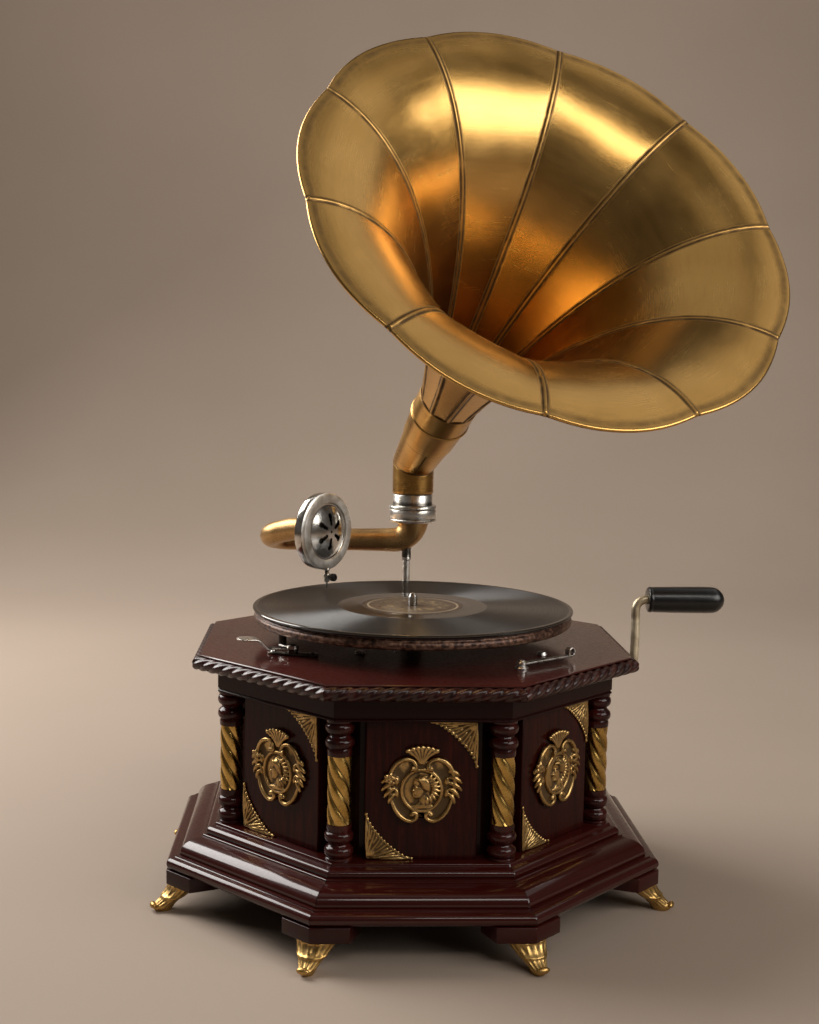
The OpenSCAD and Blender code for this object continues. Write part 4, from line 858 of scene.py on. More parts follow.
for path in (((0.6, 0.6, 0.9), (16, 0.6, 0.9), (31.4, 0.6, 0.7)),
             ((0.6, 0.6, 0.9), (0.6, 16, 0.9), (0.6, 31.4, 0.7))):
    parts.append(vine(path, (0.8, 0.8, 0.6)))
parts.append(bead((3.4, 3.4, 1.0), (3.2, 3.2, 1.0)))
cast(join(*parts), grain=0.30, keep=0.22, back=0.04)
relief(spandrel, rounds=5, scale=0.22)
upper = twin(spandrel)
corner_out = panel_wide / 2 - corner_gap
spandrel.data.transform(on_panel(-corner_out, cap_top + corner_gap))
upper.data.transform(on_panel(corner_out, frieze_low - corner_gap, 180))
corner_ornaments = join(spandrel, upper)
all_round(corner_ornaments, 0)
corner_brass = aged_brass(
    "corner_brass", (0.60, 0.40, 0.16), (0.40, 0.25, 0.090), (0.085, 0.048, 0.019),
    rough=0.34, low=0.34, high=0.62)
dress(corner_ornaments, corner_brass)
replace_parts(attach(corner_ornaments, "cabinet"), "corner_ornaments")

# Foot screws: plain steel wood screws, driven up through the feet into the
# blocks.


def plated(name, colour, rough, dull=0.12, scratch=0.35, dirt=True):
    """Plated or polished metal with fine wipe marks, faint stains and, if asked, dirt in its hollows."""
    made, tree, skin, spot = material(name)
    stain = noise(tree, spot, 75.0, 5.0, Distortion=0.6)
    wipe = noise(tree, spot, 1.0, 3.0, (900, 900, 110))
    tone = mixed(tree, "MULTIPLY", 1.0, colour, ramp(tree, stain, (0.32, (0.60, 0.56, 0.50)), (0.60, 1.0)))
    if dirt:
        hollows = ramp(tree, marked(tree, "crest"), (0.18, (0.10, 0.085, 0.07)), (0.46, 1.0))
        tone = mixed(tree, "MULTIPLY", 0.85, tone, hollows)
    uneven = bump(tree, noise(tree, spot, 70.0, 2.0), 0.0004, 0.06)
    set_skin(
        tree, skin, Base_Color=tone, Metallic=1.0,
        Roughness=ramp(tree, mixed(tree, "MIX", 0.4, stain, wipe), (0.34, rough), (0.68, rough + dull)),
        Normal=bump(tree, wipe, 0.00004, scratch, uneven))
    return made


steel = plated("steel", (0.56, 0.55, 0.53), rough=0.22, dirt=False)
dress(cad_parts["foot_screws"], steel)

# Spring motor: two steel plates on four pillars hung under the deck, with cut
# brass wheels, a spring drum and a governor; all of it is inside the cabinet.
gear_brass = plated("gear_brass", (0.62, 0.43, 0.16), rough=0.24, dirt=False)
spring_steel = plated("spring_steel", (0.24, 0.26, 0.32), rough=0.30, dirt=False)
steel_pieces = (
    "motor_bottom_plate", "motor_top_plate", "motor_pillars", "motor_bolts", "governor_bearings",
    "crank_bearing", "check_spring", "crank_pinion", "barrel_arbor", "idler_arbor", "governor_shaft")
brass_pieces = ("winding_wheel", "spring_barrel", "idler_wheel", "worm_wheel", "governor_weights")
for finish, names in ((steel, steel_pieces), (gear_brass, brass_pieces), (spring_steel, ("mainspring",))):
    for name in names:
        dress(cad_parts[name], finish)

# Crank escutcheon: a turned brass bush pressed through the frieze, with a
# small rounded flange outside.


def laid(at, face):
    """From an upright axis to one along a direction, set down at a point in millimetres."""
    return Matrix.Translation(Vector(at) * MM) @ Vector(face).to_track_quat("Z", "Y").to_matrix().to_4x4()


def lathe(name, profile, at, face=None, steps=64, smooth=35):
    """A turned piece, its axis upright or laid along a direction, set down at a point in millimetres."""
    obj = spun(name, profile, steps, 0, smooth)
    obj.data.transform(Matrix.Translation(Vector(at) * MM) if face is None else laid(at, face))
    return obj


crank_height, crank_axis, crank_bore = 167.0, (1, 0, 0), 3.56
escutcheon = lathe(
    "crank_escutcheon_brass",
    [(crank_bore, 0), (4.7, 0), (5.0, 0.3), (5.0, 20.0), (5.7, 20.02), (6.1, 20.3), (6.1, 21.2), (5.7, 21.8),
     (4.9, 22.3), (4.1, 22.5), (3.7, 22.35), (crank_bore, 22.0), (crank_bore, 0)],
    (127, 0, crank_height), crank_axis, 48)
relief(escutcheon, rounds=2, scale=0.3)
bush_brass = aged_brass("bush_brass", (0.62, 0.42, 0.16), (0.44, 0.28, 0.09), (0.05, 0.028, 0.011), rough=0.28)
dress(escutcheon, bush_brass)
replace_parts(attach(escutcheon, "cabinet"), "crank_escutcheon")

# Crank: a steel rod bent twice by hand and plated pale, screwed into the
# motor's winding shaft; its bends are a little flattened.


def swept(name, path, sizes, count=40, smooth=60):
    """A closed round bar of changing size along a path in millimetres."""
    path = np.array(path, float)
    ahead = np.gradient(path, axis=0)
    ahead /= np.linalg.norm(ahead, axis=1)[:, None]
    side = np.cross(ahead[0], (0.0, 0.0, 1.0))
    a = np.linspace(0, 2 * math.pi, count + 1)[:, None]
    rows = [np.tile(path[0], (count + 1, 1))]
    for p, t, r in zip(path, ahead, sizes):
        side = side - t * (side @ t)
        side /= np.linalg.norm(side)
        rows.append(p + r * (np.cos(a) * side + np.sin(a) * np.cross(t, side)))
    return sheet(name, [*rows, np.tile(path[-1], (count + 1, 1))], smooth)


rod, rod_end, rod_bow = 3.48, 3.0, 0.25
rod_start, rod_x, rod_low, rod_high, rod_top, rod_stop = 68.0, 176.5, 10.0, 8.0, 222.0, 234.5
low_bend, high_bend = rod_x - rod_low, rod_x + rod_high
arm_low, arm_high = crank_height + rod_low, rod_top - rod_high
bend_turns = np.radians(np.linspace(7.5, 90, 12))
rod_path = [(rod_start, 0, crank_height), (rod_start + 0.6, 0, crank_height)]
rod_path += [(x, 0, crank_height) for x in np.linspace(90, low_bend, 6)]
rod_path += [(low_bend + rod_low * math.sin(a), 0, arm_low - rod_low * math.cos(a)) for a in bend_turns]
rod_path += [(rod_x + rod_bow * math.sin(math.pi * t), 0, arm_low + t * (arm_high - arm_low))
             for t in np.linspace(0.08, 1, 12)]
rod_path += [(high_bend - rod_high * math.cos(a), 0, arm_high + rod_high * math.sin(a)) for a in bend_turns]
rod_path += [(x, 0, rod_top) for x in np.linspace(high_bend + 3, rod_stop - 0.6, 6)]
rod_path += [(rod_stop, 0, rod_top)]
crank_rod = swept("crank_rod_plated", rod_path, [rod_end, *[rod] * (len(rod_path) - 2), rod_end], 32)
pale_plate = plated("pale_plate", (0.92, 0.82, 0.62), rough=0.42, dirt=False)
dress(crank_rod, pale_plate)
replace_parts(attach(crank_rod, "crank"), "crank_rod")

# Crank grip: turned hardwood lacquered black, bored to spin on the rod, with
# a shallow lip at its inner end and a rounded outer end.
grip_start, grip_length, grip_bored = 185.5, 61.0, 51.0
crank_grip = lathe(
    "crank_grip_black",
    [(crank_bore, 0.0), (8.2, 0.0), (9.3, 0.25), (9.9, 0.8), (10.15, 1.6), (10.1, 2.5), (9.85, 3.0),
     (9.9, 3.6), (10.05, 6), (10.3, 20), (10.45, 34), (10.5, 44), (10.4, 49.5),
     *arc((0, 50.4), (10.35, 10.6), 8, 88, 12)[:-1], (0, grip_length), (0, grip_bored),
     (crank_bore, grip_bored), (crank_bore, 0)],
    (grip_start, 0, rod_top), crank_axis, 64)


def japanned(name, colour, rough, worn):
    """Glossy black stoving lacquer, with fine handling marks."""
    made, tree, skin, spot = material(name)
    rub = noise(tree, spot, 90.0, 5.0, Distortion=0.4)
    hair = noise(tree, spot, 1.0, 2.0, (70, 900, 900))
    uneven = bump(tree, noise(tree, spot, 60.0, 2.0), 0.0004, 0.07)
    set_skin(
        tree, skin, Base_Color=ramp(tree, rub, (0.45, colour), (0.75, worn)),
        Roughness=ramp(tree, mixed(tree, "MIX", 0.5, rub, hair), (0.36, rough), (0.66, rough + 0.16)),
        Normal=bump(tree, hair, 0.00003, 0.3, uneven),
        Specular_IOR_Level=0.1, Coat_Weight=0.9, Coat_Roughness=0.29)
    return made


black_grip = japanned("black_grip", (0.003, 0.003, 0.003), rough=0.24, worn=(0.008, 0.007, 0.006))
dress(crank_grip, black_grip)
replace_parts(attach(crank_grip, "grip"), "crank_grip")

# Post flange: a turned and nickelled foot for the arm post, held by three
# round-headed screws.
post_x, arm_y, flange_bore = 1.8, 140.0, 3.36
nickel = plated("nickel", (0.88, 0.86, 0.82), rough=0.24)
post_flange = lathe(
    "post_flange_nickel",
    [(flange_bore, 0), (11.6, 0), (12.0, 0.4), (12.0, 1.3), (11.6, 1.7), (6.8, 2.6), (6.2, 3.0), (5.8, 3.8),
     (5.7, 4.5), (5.3, 4.9), (4.2, 5.0), (flange_bore, 4.8), (flange_bore, 0)],
    (post_x, arm_y, deck))
relief(post_flange, rounds=2, scale=0.4)
dress(post_flange, nickel)
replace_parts(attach(post_flange, "cabinet"), "post_flange")

# Deck screws: slotted round-headed wood screws, three in the flange and two
# in the brake's base.


def cut_out(obj, *tools):
    """Cuts tools out of a piece and throws the tools away."""
    tool = join(*tools) if len(tools) > 1 else tools[0]
    cut = obj.modifiers.new("cut", "BOOLEAN")
    cut.operation, cut.solver, cut.object = "DIFFERENCE", "EXACT", tool
    cut.use_self = True
    choose(obj)
    bpy.ops.object.modifier_apply(modifier=cut.name)
    bpy.data.objects.remove(tool, do_unlink=True)
    return obj


def around(centre, radius, turn):
    """A point at a distance and an angle from a centre, seen from above."""
    return centre[0] + radius * math.cos(turn), centre[1] + radius * math.sin(turn)


screw_out, slot_reach, slot_half = 8.6, 3.0, 0.28
screw = spun(
    "deck_screws_steel",
    [(0, -6), (0.9, -6), (1.1, -5.6), (1.1, 0), (2.05, 0), (2.1, 0.2), (1.9, 0.65), (1.4, 1.0), (0.7, 1.17),
     (0, 1.2)], 32)
cut_out(screw, slab(
    "slot", [(-slot_reach, -slot_half), (slot_reach, -slot_half), (slot_reach, slot_half),
             (-slot_reach, slot_half)], 0.55, 3))
brake_turn = math.radians(215)
base_turn, base_reach = brake_turn - math.radians(50), 15.0
brake_place = around((0, 0), 112, brake_turn)
screw_places = [(*around((post_x, arm_y), screw_out, math.radians(a)), deck + 2.62, a) for a in (30, 150, 270)]
screw_places += [(*around(brake_place, s * base_reach, base_turn), deck + 1.55, 40 + 70 * s) for s in (-1, 1)]
screws = []
for x, y, z, turn in screw_places:
    copy = twin(screw)
    copy.data.transform(
        Matrix.Translation((x * MM, y * MM, z * MM)) @ Matrix.Rotation(math.radians(turn), 4, "Z"))
    screws.append(copy)
bpy.data.objects.remove(screw)
deck_screws = join(*screws)
deck_screws.name = deck_screws.data.name = "deck_screws_steel"
dress(deck_screws, steel)
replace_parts(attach(deck_screws, "cabinet"), "deck_screws")

# Arm post: a bright steel rod screwed through the deck, turned down at the
# top to a pin for the arm.
arm_post = lathe(
    "arm_post_steel",
    [(0, 180), (2.9, 180), (3.3, 180.4), (3.3, 226.6), (3.0, 226.9), (3.0, 227.3), (3.3, 227.6),
     (3.3, 231.2), (2.9, 231.6), (2.5, 231.6), (2.5, 239.5), (2.0, 240), (0, 240.3)],
    (post_x, arm_y, 0))
relief(arm_post, rounds=2, scale=0.3)
post_steel = plated("post_steel", (0.94, 0.92, 0.88), rough=0.42, dull=0.08)
dress(arm_post, post_steel)
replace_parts(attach(arm_post, "cabinet"), "arm_post")

# Brake: a dark iron base plate with a riveted pin, a bent nickelled lever with
# a finger tab, and a leather pad that presses up under the platter's rim.


def bar(name, stations, at, turn, smooth=50):
    """A flat strip through stations of length, height, width and thickness, its edges rounded."""
    points = 29
    rows = [[(stations[0][0], 0, stations[0][1])] * points]
    for i, (s, z, wide, thick) in enumerate(stations):
        a, b = stations[max(0, i - 1)], stations[min(len(stations) - 1, i + 1)]
        slope = math.atan2(b[1] - a[1], b[0] - a[0])
        row = []
        for angle in np.linspace(0, 2 * math.pi, points):
            y = 0.5 * wide * math.copysign(abs(math.cos(angle)) ** 0.35, math.cos(angle))
            h = 0.5 * thick * math.copysign(abs(math.sin(angle)) ** 0.35, math.sin(angle))
            row.append((s - h * math.sin(slope), y, z + h * math.cos(slope)))
        rows.append(row)
    rows.append([(stations[-1][0], 0, stations[-1][1])] * points)
    obj = sheet(name, rows, smooth)
    obj.data.transform(Matrix.Translation(Vector(at) * MM) @ Matrix.Rotation(turn, 4, "Z"))
    return obj


base_half = 4.5
stadium = [(base_reach * s + base_half * math.cos(a), base_half * math.sin(a))
           for s, first in ((1, -90), (-1, 90)) for a in np.radians(np.linspace(first, first + 180, 17))]
brake_base = slab("brake_base_nickel", stadium, 0, 1.6, 0.35)
brake_base.data.transform(Matrix.Rotation(base_turn, 4, "Z"))
join(brake_base, spun(
    "brake_pin",
    [(0, 1), (4.0, 1), (4.0, 3.7), (3.7, 4.0), (1.95, 4.0), (1.95, 7.2), (2.6, 7.25), (2.7, 7.6), (2.2, 8.0),
     (0, 8.2)], 40))
brake_base.data.transform(Matrix.Translation(Vector((*brake_place, deck)) * MM))
relief(brake_base, rounds=2, scale=0.4)
dark_iron = plated("dark_iron", (0.15, 0.125, 0.105), rough=0.34)
dress(brake_base, dark_iron)
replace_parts(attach(brake_base, "cabinet"), "brake_base")
lever_at, tab_toward = (*brake_place, 193.9), (-127, -72)
tab_turn = math.atan2(tab_toward[1] - brake_place[1], tab_toward[0] - brake_place[0])
tab_stations = [
    (3, 0.8, 6, 1.5), (14, 0.8, 6.4, 1.6), (18, 0.85, 7.4, 1.7), (19.6, 1.4, 8.4, 1.7), (21.4, 3.0, 9, 1.7),
    (23.2, 5.0, 9.4, 1.7), (25, 6.9, 9.8, 1.7), (26.8, 8.0, 10.4, 1.7), (29, 8.5, 11.6, 1.6),
    (33, 8.7, 13, 1.6), (36.5, 8.8, 13, 1.5), (39, 8.9, 11.4, 1.4), (40.6, 9.0, 8, 1.3), (41.4, 9.05, 4, 1.1)]
brake_lever = bar("brake_lever_nickel", tab_stations, lever_at, tab_turn)
pad_turn, pad_reach, hub_bore = brake_turn - math.pi / 2, 14.0, 2.06
pad_arm = bar(
    "pad_arm",
    [(3, 0.8, 5.2, 1.5), (11, 0.8, 5.2, 1.5), (pad_reach, 0.8, 6, 1.5), (16.2, 0.8, 4.6, 1.5),
     (17, 0.8, 2, 1.4)],
    lever_at, pad_turn)
lever_hub = lathe(
    "lever_hub",
    [(hub_bore, 0), (4.3, 0), (4.6, 0.3), (4.6, 2.6), (4.2, 3.0), (2.4, 3.0), (hub_bore, 2.8), (hub_bore, 0)],
    lever_at, steps=40)
join(brake_lever, pad_arm, lever_hub)
relief(brake_lever, rounds=2, scale=0.4)
dress(brake_lever, nickel)
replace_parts(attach(brake_lever, "brake"), "brake_lever")
pad_low, pad_high = 195.5, 207.2
brake_pad = lathe(
    "brake_pad_leather",
    [(0, pad_low), (2.6, pad_low), (2.95, pad_low + 0.5), (3.0, pad_low + 3), (2.9, pad_high - 2),
     (2.75, pad_high - 0.5), (2.3, pad_high), (0, pad_high)],
    (*around(brake_place, pad_reach, pad_turn), 0), steps=32)
leather, tree, skin, spot = material("leather")
hide = noise(tree, spot, 500.0, 5.0)
set_skin(
    tree, skin, Base_Color=ramp(tree, hide, (0.3, (0.030, 0.018, 0.011)), (0.7, (0.085, 0.052, 0.030))),
    Normal=bump(tree, hide, 0.0002, 0.7), Roughness=0.8)
dress(brake_pad, leather)
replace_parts(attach(brake_pad, "brake"), "brake_pad")

# Speed lever: a thin nickelled strip on a riveted stud, its end rolled into an
# eye for the finger.
speed_place, speed_turn, speed_reach = (72.0, -107.0), math.radians(37), 50.0
speed_at, speed_bore, speed_wide, eye_round = (*speed_place, deck + 3.0), 1.66, 4.6, 2.8
speed_base = lathe(
    "speed_base_nickel",
    [(0, 0), (4.7, 0), (5.0, 0.3), (5.0, 1.1), (4.7, 1.4), (3.6, 1.5), (3.4, 1.7), (3.4, 2.4), (3.2, 2.6),
     (1.55, 2.6), (1.55, 5.3), (2.4, 5.35), (2.5, 5.7), (2.0, 6.3), (0, 6.5)],
    (*speed_place, deck), steps=40)
relief(speed_base, rounds=2, scale=0.4)
dress(speed_base, nickel)
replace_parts(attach(speed_base, "cabinet"), "speed_base")
speed_stations = [(s, 0.6, speed_wide, 1.5) for s in (2.4, 20, 40)]
speed_stations.append((speed_reach - 2, 0.6, speed_wide, 1.4))
speed_stations += [(speed_reach + eye_round * math.sin(a), 3.4 - eye_round * math.cos(a), speed_wide, 1.3)
                   for a in np.radians(np.linspace(15, 325, 22))]
speed_lever = bar("speed_lever_nickel", speed_stations, speed_at, speed_turn)
join(speed_lever, lathe(
    "speed_hub",
    [(speed_bore, 0), (3.4, 0), (3.6, 0.2), (3.6, 1.8), (3.2, 2.2), (speed_bore, 2.2), (speed_bore, 0)],
    speed_at, steps=40))
relief(speed_lever, rounds=2, scale=0.4)
dress(speed_lever, nickel)
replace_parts(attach(speed_lever, "speed"), "speed_lever")

# Spindle: one steel arbor from the motor's lower plate to the pin that
# centres the record, with a pinion cut in it and a shoulder for the platter.
dress(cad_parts["spindle"], steel)

# Platter: a pressed iron plate with a beaded rim and a riveted hub, sprayed
# with brown crackle enamel that has worn to bright metal on the bead.
disc_bore, felt_low, record_low = 3.66, 212.7, 214.0
platter = spun(
    "platter_enamelled",
    [(disc_bore, 199), (8.6, 199), (9, 199.4), (9, 209.0), (9.6, 209.5), (70, 209.9), (119.6, 210.5),
     (120.6, 210.0), (120.9, 209.0), (121.0, 206.2), (121.1, 205.4), (121.6, 205.0),
     *arc((120.9, 208.2), (3.1, 3.3), -66, 62, 14), (122.1, 211.6), (121.8, 212.2), (121.2, felt_low),
     (disc_bore, felt_low), (disc_bore, 199)], 144)
mark(platter, "worn", [
    bell_of(v.co.z / MM, 206.6, 1.5) if v.co.xy.length > 0.1215 else 0.0 for v in platter.data.vertices])
crackle, tree, skin, spot = material("crackle_enamel")
pebbles = add(tree, "TexVoronoi", Vector=spot, Scale=520.0, feature="SMOOTH_F1").outputs["Distance"]
freckle = noise(tree, spot, 300.0, 5.0)
cloud = noise(tree, spot, 40.0, 4.0)
tone = ramp(tree, freckle, (0.36, (0.030, 0.013, 0.009)), (0.50, (0.105, 0.048, 0.030)),
            (0.66, (0.25, 0.135, 0.085)))
tone = mixed(tree, "MULTIPLY", 0.6, tone, ramp(tree, cloud, (0.35, 0.5), (0.65, 1.0)))
worn = times(tree, marked(tree, "worn"), noise(tree, spot, 130.0, 5.0))
bare = ramp(tree, worn, (0.40, 0.0), (0.60, 0.8))
set_skin(
    tree, skin, Base_Color=mixed(tree, "MIX", bare, tone, (0.46, 0.30, 0.21)),
    Metallic=ramp(tree, bare, (0.0, 0.45), (1.0, 0.95)),
    Roughness=ramp(tree, freckle, (0.3, 0.30), (0.7, 0.48)),
    Normal=bump(tree, pebbles, 0.0005, 0.5, bump(tree, freckle, 0.0003, 0.4)))
dress(platter, crackle)
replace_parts(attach(platter, "turntable"), "platter")

# Platter felt: a disc of dark red wool felt, cut out and glued to the platter
# so that the record doesn't slip.
felt_bore = 3.7
felt = spun(
    "platter_felt_wool",
    [(felt_bore, felt_low), (121.9, felt_low), (122.4, 213.0), (122.45, 213.5), (122.0, 213.9),
     (121.2, record_low), (felt_bore, record_low), (felt_bore, felt_low)], 128)
wool, tree, skin, spot = material("wool_felt")
fibre = noise(tree, spot, 1500.0, 4.0, Distortion=2.0)
set_skin(
    tree, skin, Base_Color=ramp(tree, fibre, (0.3, (0.016, 0.006, 0.005)), (0.7, (0.050, 0.016, 0.013))),
    Normal=bump(tree, fibre, 0.0004, 0.6), Roughness=0.95, Sheen_Weight=0.4)
dress(felt, wool)
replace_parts(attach(felt, "turntable"), "platter_felt")

# Record: a ten-inch disc pressed in black shellac, with a raised bead at the
# edge, a band of grooves and smooth land round the label.
record_steps, record_high, track_low, track_high = 180, 216.1, 214.12, 216.02
# Radius, height and 1 where the grooves are.
record_rings = [
    (disc_bore, record_low, 0), (40, record_low, 0), (58, 214.06, 0), (58.6, track_low, 1),
    (121.6, track_low, 1), (122.2, 214.02, 0), (123.8, record_low, 0), (124.6, 214.2, 0), (125.0, 214.8, 0),
    (125.0, 215.4, 0), (124.6, 216.0, 0), (123.8, 216.2, 0), (122.6, 216.2, 0), (121.9, 216.06, 0),
    (121.5, track_high, 1), (105, track_high, 1), (88, track_high, 1), (72, track_high, 1),
    (58.6, track_high, 1), (58.0, 216.06, 0), (56.8, record_high, 0), (48, record_high, 0),
    (41.2, record_high, 0), (40.4, 216.19, 0), (39.4, 216.19, 0), (39.05, record_high, 0),
    (disc_bore, record_high, 0), (disc_bore, record_low, 0)]
turns = [2 * math.pi * k / record_steps for k in range(record_steps + 1)]
record = sheet(
    "record_shellac", [[(r * math.cos(a), r * math.sin(a), z) for a in turns] for r, z, _ in record_rings], 30,
    groove=[[g] * (record_steps + 1) for _, _, g in record_rings],
    uv=[[(0.05 * a, r * MM) for a in turns] for r, _, _ in record_rings])
shellac, tree, skin, spot = material("shellac")
flat = add(tree, "UVMap", uv_map="UVMap").outputs[0]
groove = marked(tree, "groove")
tracks = noise(tree, flat, 1.0, 6.0, (0.6, 900, 1), Roughness=0.8)
dust = noise(tree, spot, 1100.0, 2.0)
tone = ramp(tree, tracks, (0.3, (0.006, 0.0055, 0.005)), (0.7, (0.016, 0.0145, 0.013)))
tone = mixed(tree, "ADD", 1.0, tone, ramp(tree, dust, (0.66, 0.0), (0.78, 0.035)))
gloss = ramp(tree, tracks, (0.3, 0.34), (0.7, 0.50))
warp = bump(tree, noise(tree, spot, 14.0, 2.0), 0.002, 0.05)
set_skin(
    tree, skin, Base_Color=mixed(tree, "MIX", groove, (0.014, 0.0105, 0.007), tone),
    Roughness=mixed(tree, "MIX", groove, (0.15, 0.15, 0.15), gloss),
    Normal=bump(tree, tracks, 0.00006, 0.25, warp), Specular_IOR_Level=0.9,
    Anisotropic=times(tree, groove, 0.97), Anisotropic_Rotation=0.25,
    Tangent=add(tree, "Tangent", direction_type="UV_MAP", uv_map="UVMap").outputs[0],
    Coat_Weight=0.08, Coat_Roughness=0.10)
dress(record, shellac)
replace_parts(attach(record, "turntable"), "record")

# Record labels: brown paper pressed into both faces, with one pale ring near
# the edge and a rubbed gilt band.
label_edge, label_thick = 38.95, 0.1
labels = [
    spun("record_labels_paper",
         [(felt_bore, low), (label_edge - 0.25, low), (label_edge, low + 0.03), (label_edge, low + 0.07),
          (label_edge - 0.25, low + label_thick), (felt_bore, low + label_thick), (felt_bore, low)], 96)
    for low in (record_low, record_high)]
record_labels = join(*labels)
record_labels.name = record_labels.data.name = "record_labels_paper"
paper_label, tree, skin, spot = material("label_paper")
level = add(tree, "VectorMath", operation="MULTIPLY", _0=spot, _1=(1, 1, 0)).outputs[0]
out = times(tree, add(tree, "VectorMath", operation="LENGTH", _0=level).outputs["Value"], 25.0)
dark_brown, pale_ring = (0.060, 0.036, 0.020), (0.40, 0.315, 0.21)
ground = ramp(
    tree, out, (0.10, dark_brown), (0.16, (0.105, 0.066, 0.036)), (0.855, (0.090, 0.056, 0.031)),
    (0.862, pale_ring), (0.895, pale_ring), (0.902, (0.075, 0.045, 0.025)), (0.97, dark_brown))
rubbed = noise(tree, spot, 330.0, 5.0)
band = ramp(tree, out, (0.30, 0.0), (0.42, 1.0), (0.66, 1.0), (0.76, 0.0))
gilt = times(tree, band, ramp(tree, rubbed, (0.53, 0.0), (0.62, 1.0)))
tone = mixed(tree, "MIX", gilt, ground, (0.33, 0.235, 0.115))
tone = mixed(tree, "MULTIPLY", 0.6, tone, ramp(tree, noise(tree, spot, 70.0, 4.0), (0.3, 0.5), (0.65, 1.0)))
set_skin(
    tree, skin, Base_Color=tone, Roughness=ramp(tree, rubbed, (0.3, 0.26), (0.7, 0.42)),
    Normal=bump(tree, noise(tree, spot, 900.0, 3.0), 0.0001, 0.4))
dress(record_labels, paper_label)
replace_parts(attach(record_labels, "turntable"), "record_labels")

# Arm: a cast tube with a satin bronze skin, level from its swivel and swept
# up to the collar, growing as it rises; a nickelled boss below turns on the post.


def bronzed(name, bright, dull, rough):
    """A satin bronze skin, rubbed brighter where fingers and cloths go."""
    made, tree, skin, spot = material(name)
    cloud = noise(tree, spot, 48.0, 5.0, Distortion=0.5)
    grain = noise(tree, spot, 700.0, 3.0)
    tone = ramp(tree, cloud, (0.33, dull), (0.66, bright))
    tone = mixed(tree, "MULTIPLY", 0.6, tone, ramp(tree, grain, (0.32, 0.5), (0.5, 1.0)))
    hollows = ramp(tree, marked(tree, "crest"), (0.15, (0.14, 0.10, 0.07)), (0.45, 1.0))
    uneven = bump(tree, noise(tree, spot, 55.0, 2.0), 0.0005, 0.10)
    set_skin(
        tree, skin, Base_Color=mixed(tree, "MULTIPLY", 0.8, tone, hollows), Metallic=0.92,
        Roughness=ramp(tree, mixed(tree, "MIX", 0.5, cloud, grain), (0.35, rough), (0.65, rough + 0.14)),
        Normal=bump(tree, grain, 0.00005, 0.4, uneven))
    return made


arm_height, arm_half, swivel, collar_x, elbow = 250.0, 9.6, -55.0, 6.7, 16.0
arm_swell, elbow_swell, spigot_length = 0.9, 3.4, 14.0
elbow_x, elbow_top = collar_x - elbow, arm_height + elbow
arm_path = [(swivel + 0.02, arm_y, arm_height), (swivel + 0.5, arm_y, arm_height)]
arm_path += [(x, arm_y, arm_height) for x in np.linspace(swivel + 3, elbow_x, 14)]
arm_path += [(elbow_x + elbow * math.sin(a), arm_y, elbow_top - elbow * math.cos(a))
             for a in np.radians(np.linspace(6, 90, 15))]
arm_path += [(collar_x, arm_y, elbow_top + 0.3)]
arm_sizes = [arm_half - 0.5, arm_half, *[arm_half + arm_swell * t**2 for t in np.linspace(0, 1, 14)]]
arm_sizes += [arm_half + arm_swell + elbow_swell * t**1.6 for t in np.linspace(0.06, 1, 15)]
arm_sizes += [arm_half + arm_swell + elbow_swell]
tonearm = swept("tonearm_bronze", arm_path, arm_sizes, 48)
join(tonearm, lathe(
    "arm_spigot", [(7.0, 0), (7.6, 0), (7.98, 0.5), (7.98, 14.2), (7.0, 14.2), (7.0, 0)],
    (swivel - spigot_length, arm_y, arm_height), (1, 0, 0), 48))
relief(tonearm, rounds=3, scale=0.5)
arm_bronze = bronzed("arm_bronze", (0.58, 0.360, 0.150), (0.39, 0.225, 0.088), rough=0.32)
dress(tonearm, arm_bronze)
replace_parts(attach(tonearm, "arm"), "tonearm")
boss_bore, boss_low, boss_high = 2.56, 232.02, 246.5
arm_boss = lathe(
    "arm_boss_nickel",
    [(boss_bore, boss_low), (3.7, boss_low), (4.1, 232.4), (4.15, 234.5), (4.0, 234.8), (4.0, 243.5),
     (4.6, boss_high), (boss_bore, boss_high), (boss_bore, boss_low)],
    (post_x, arm_y, 0), steps=40)
relief(arm_boss, rounds=2, scale=0.3)
dress(arm_boss, nickel)
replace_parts(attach(arm_boss, "arm"), "tonearm")

# Arm collar: a turned and nickelled ring soldered on the arm, with two fine
# grooves, a narrower ring and a spigot that the horn drops over.
arm_collar = lathe(
    "arm_collar_nickel",
    [(9.7, 0), (17.4, 0), (18.0, 0.1), (20.2, 1.1), (20.8, 1.9), (20.8, 2.9), (20.5, 3.25), (19.9, 3.4),
     (19.9, 3.8), (20.4, 3.95), (20.6, 4.3), (20.6, 11.2), (20.4, 11.6), (19.8, 11.8), (19.8, 12.2),
     (20.4, 12.35), (20.8, 12.7), (20.8, 14.0), (20.4, 14.8), (19.4, 15.3), (18.0, 15.4), (17.5, 15.5),
     (17.3, 15.9), (17.3, 24.3), (17.0, 24.8), (16.6, 25.0), (15.98, 25.0), (15.98, 39.5), (15.5, 40),
     (14.5, 40), (14.5, 15.4), (7, 15.4), (7, 12), (9.7, 12), (9.7, 0)],
    (collar_x, arm_y, elbow_top), steps=96)
relief(arm_collar, rounds=2, scale=0.35)
dress(arm_collar, nickel)
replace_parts(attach(arm_collar, "arm"), "arm_collar")

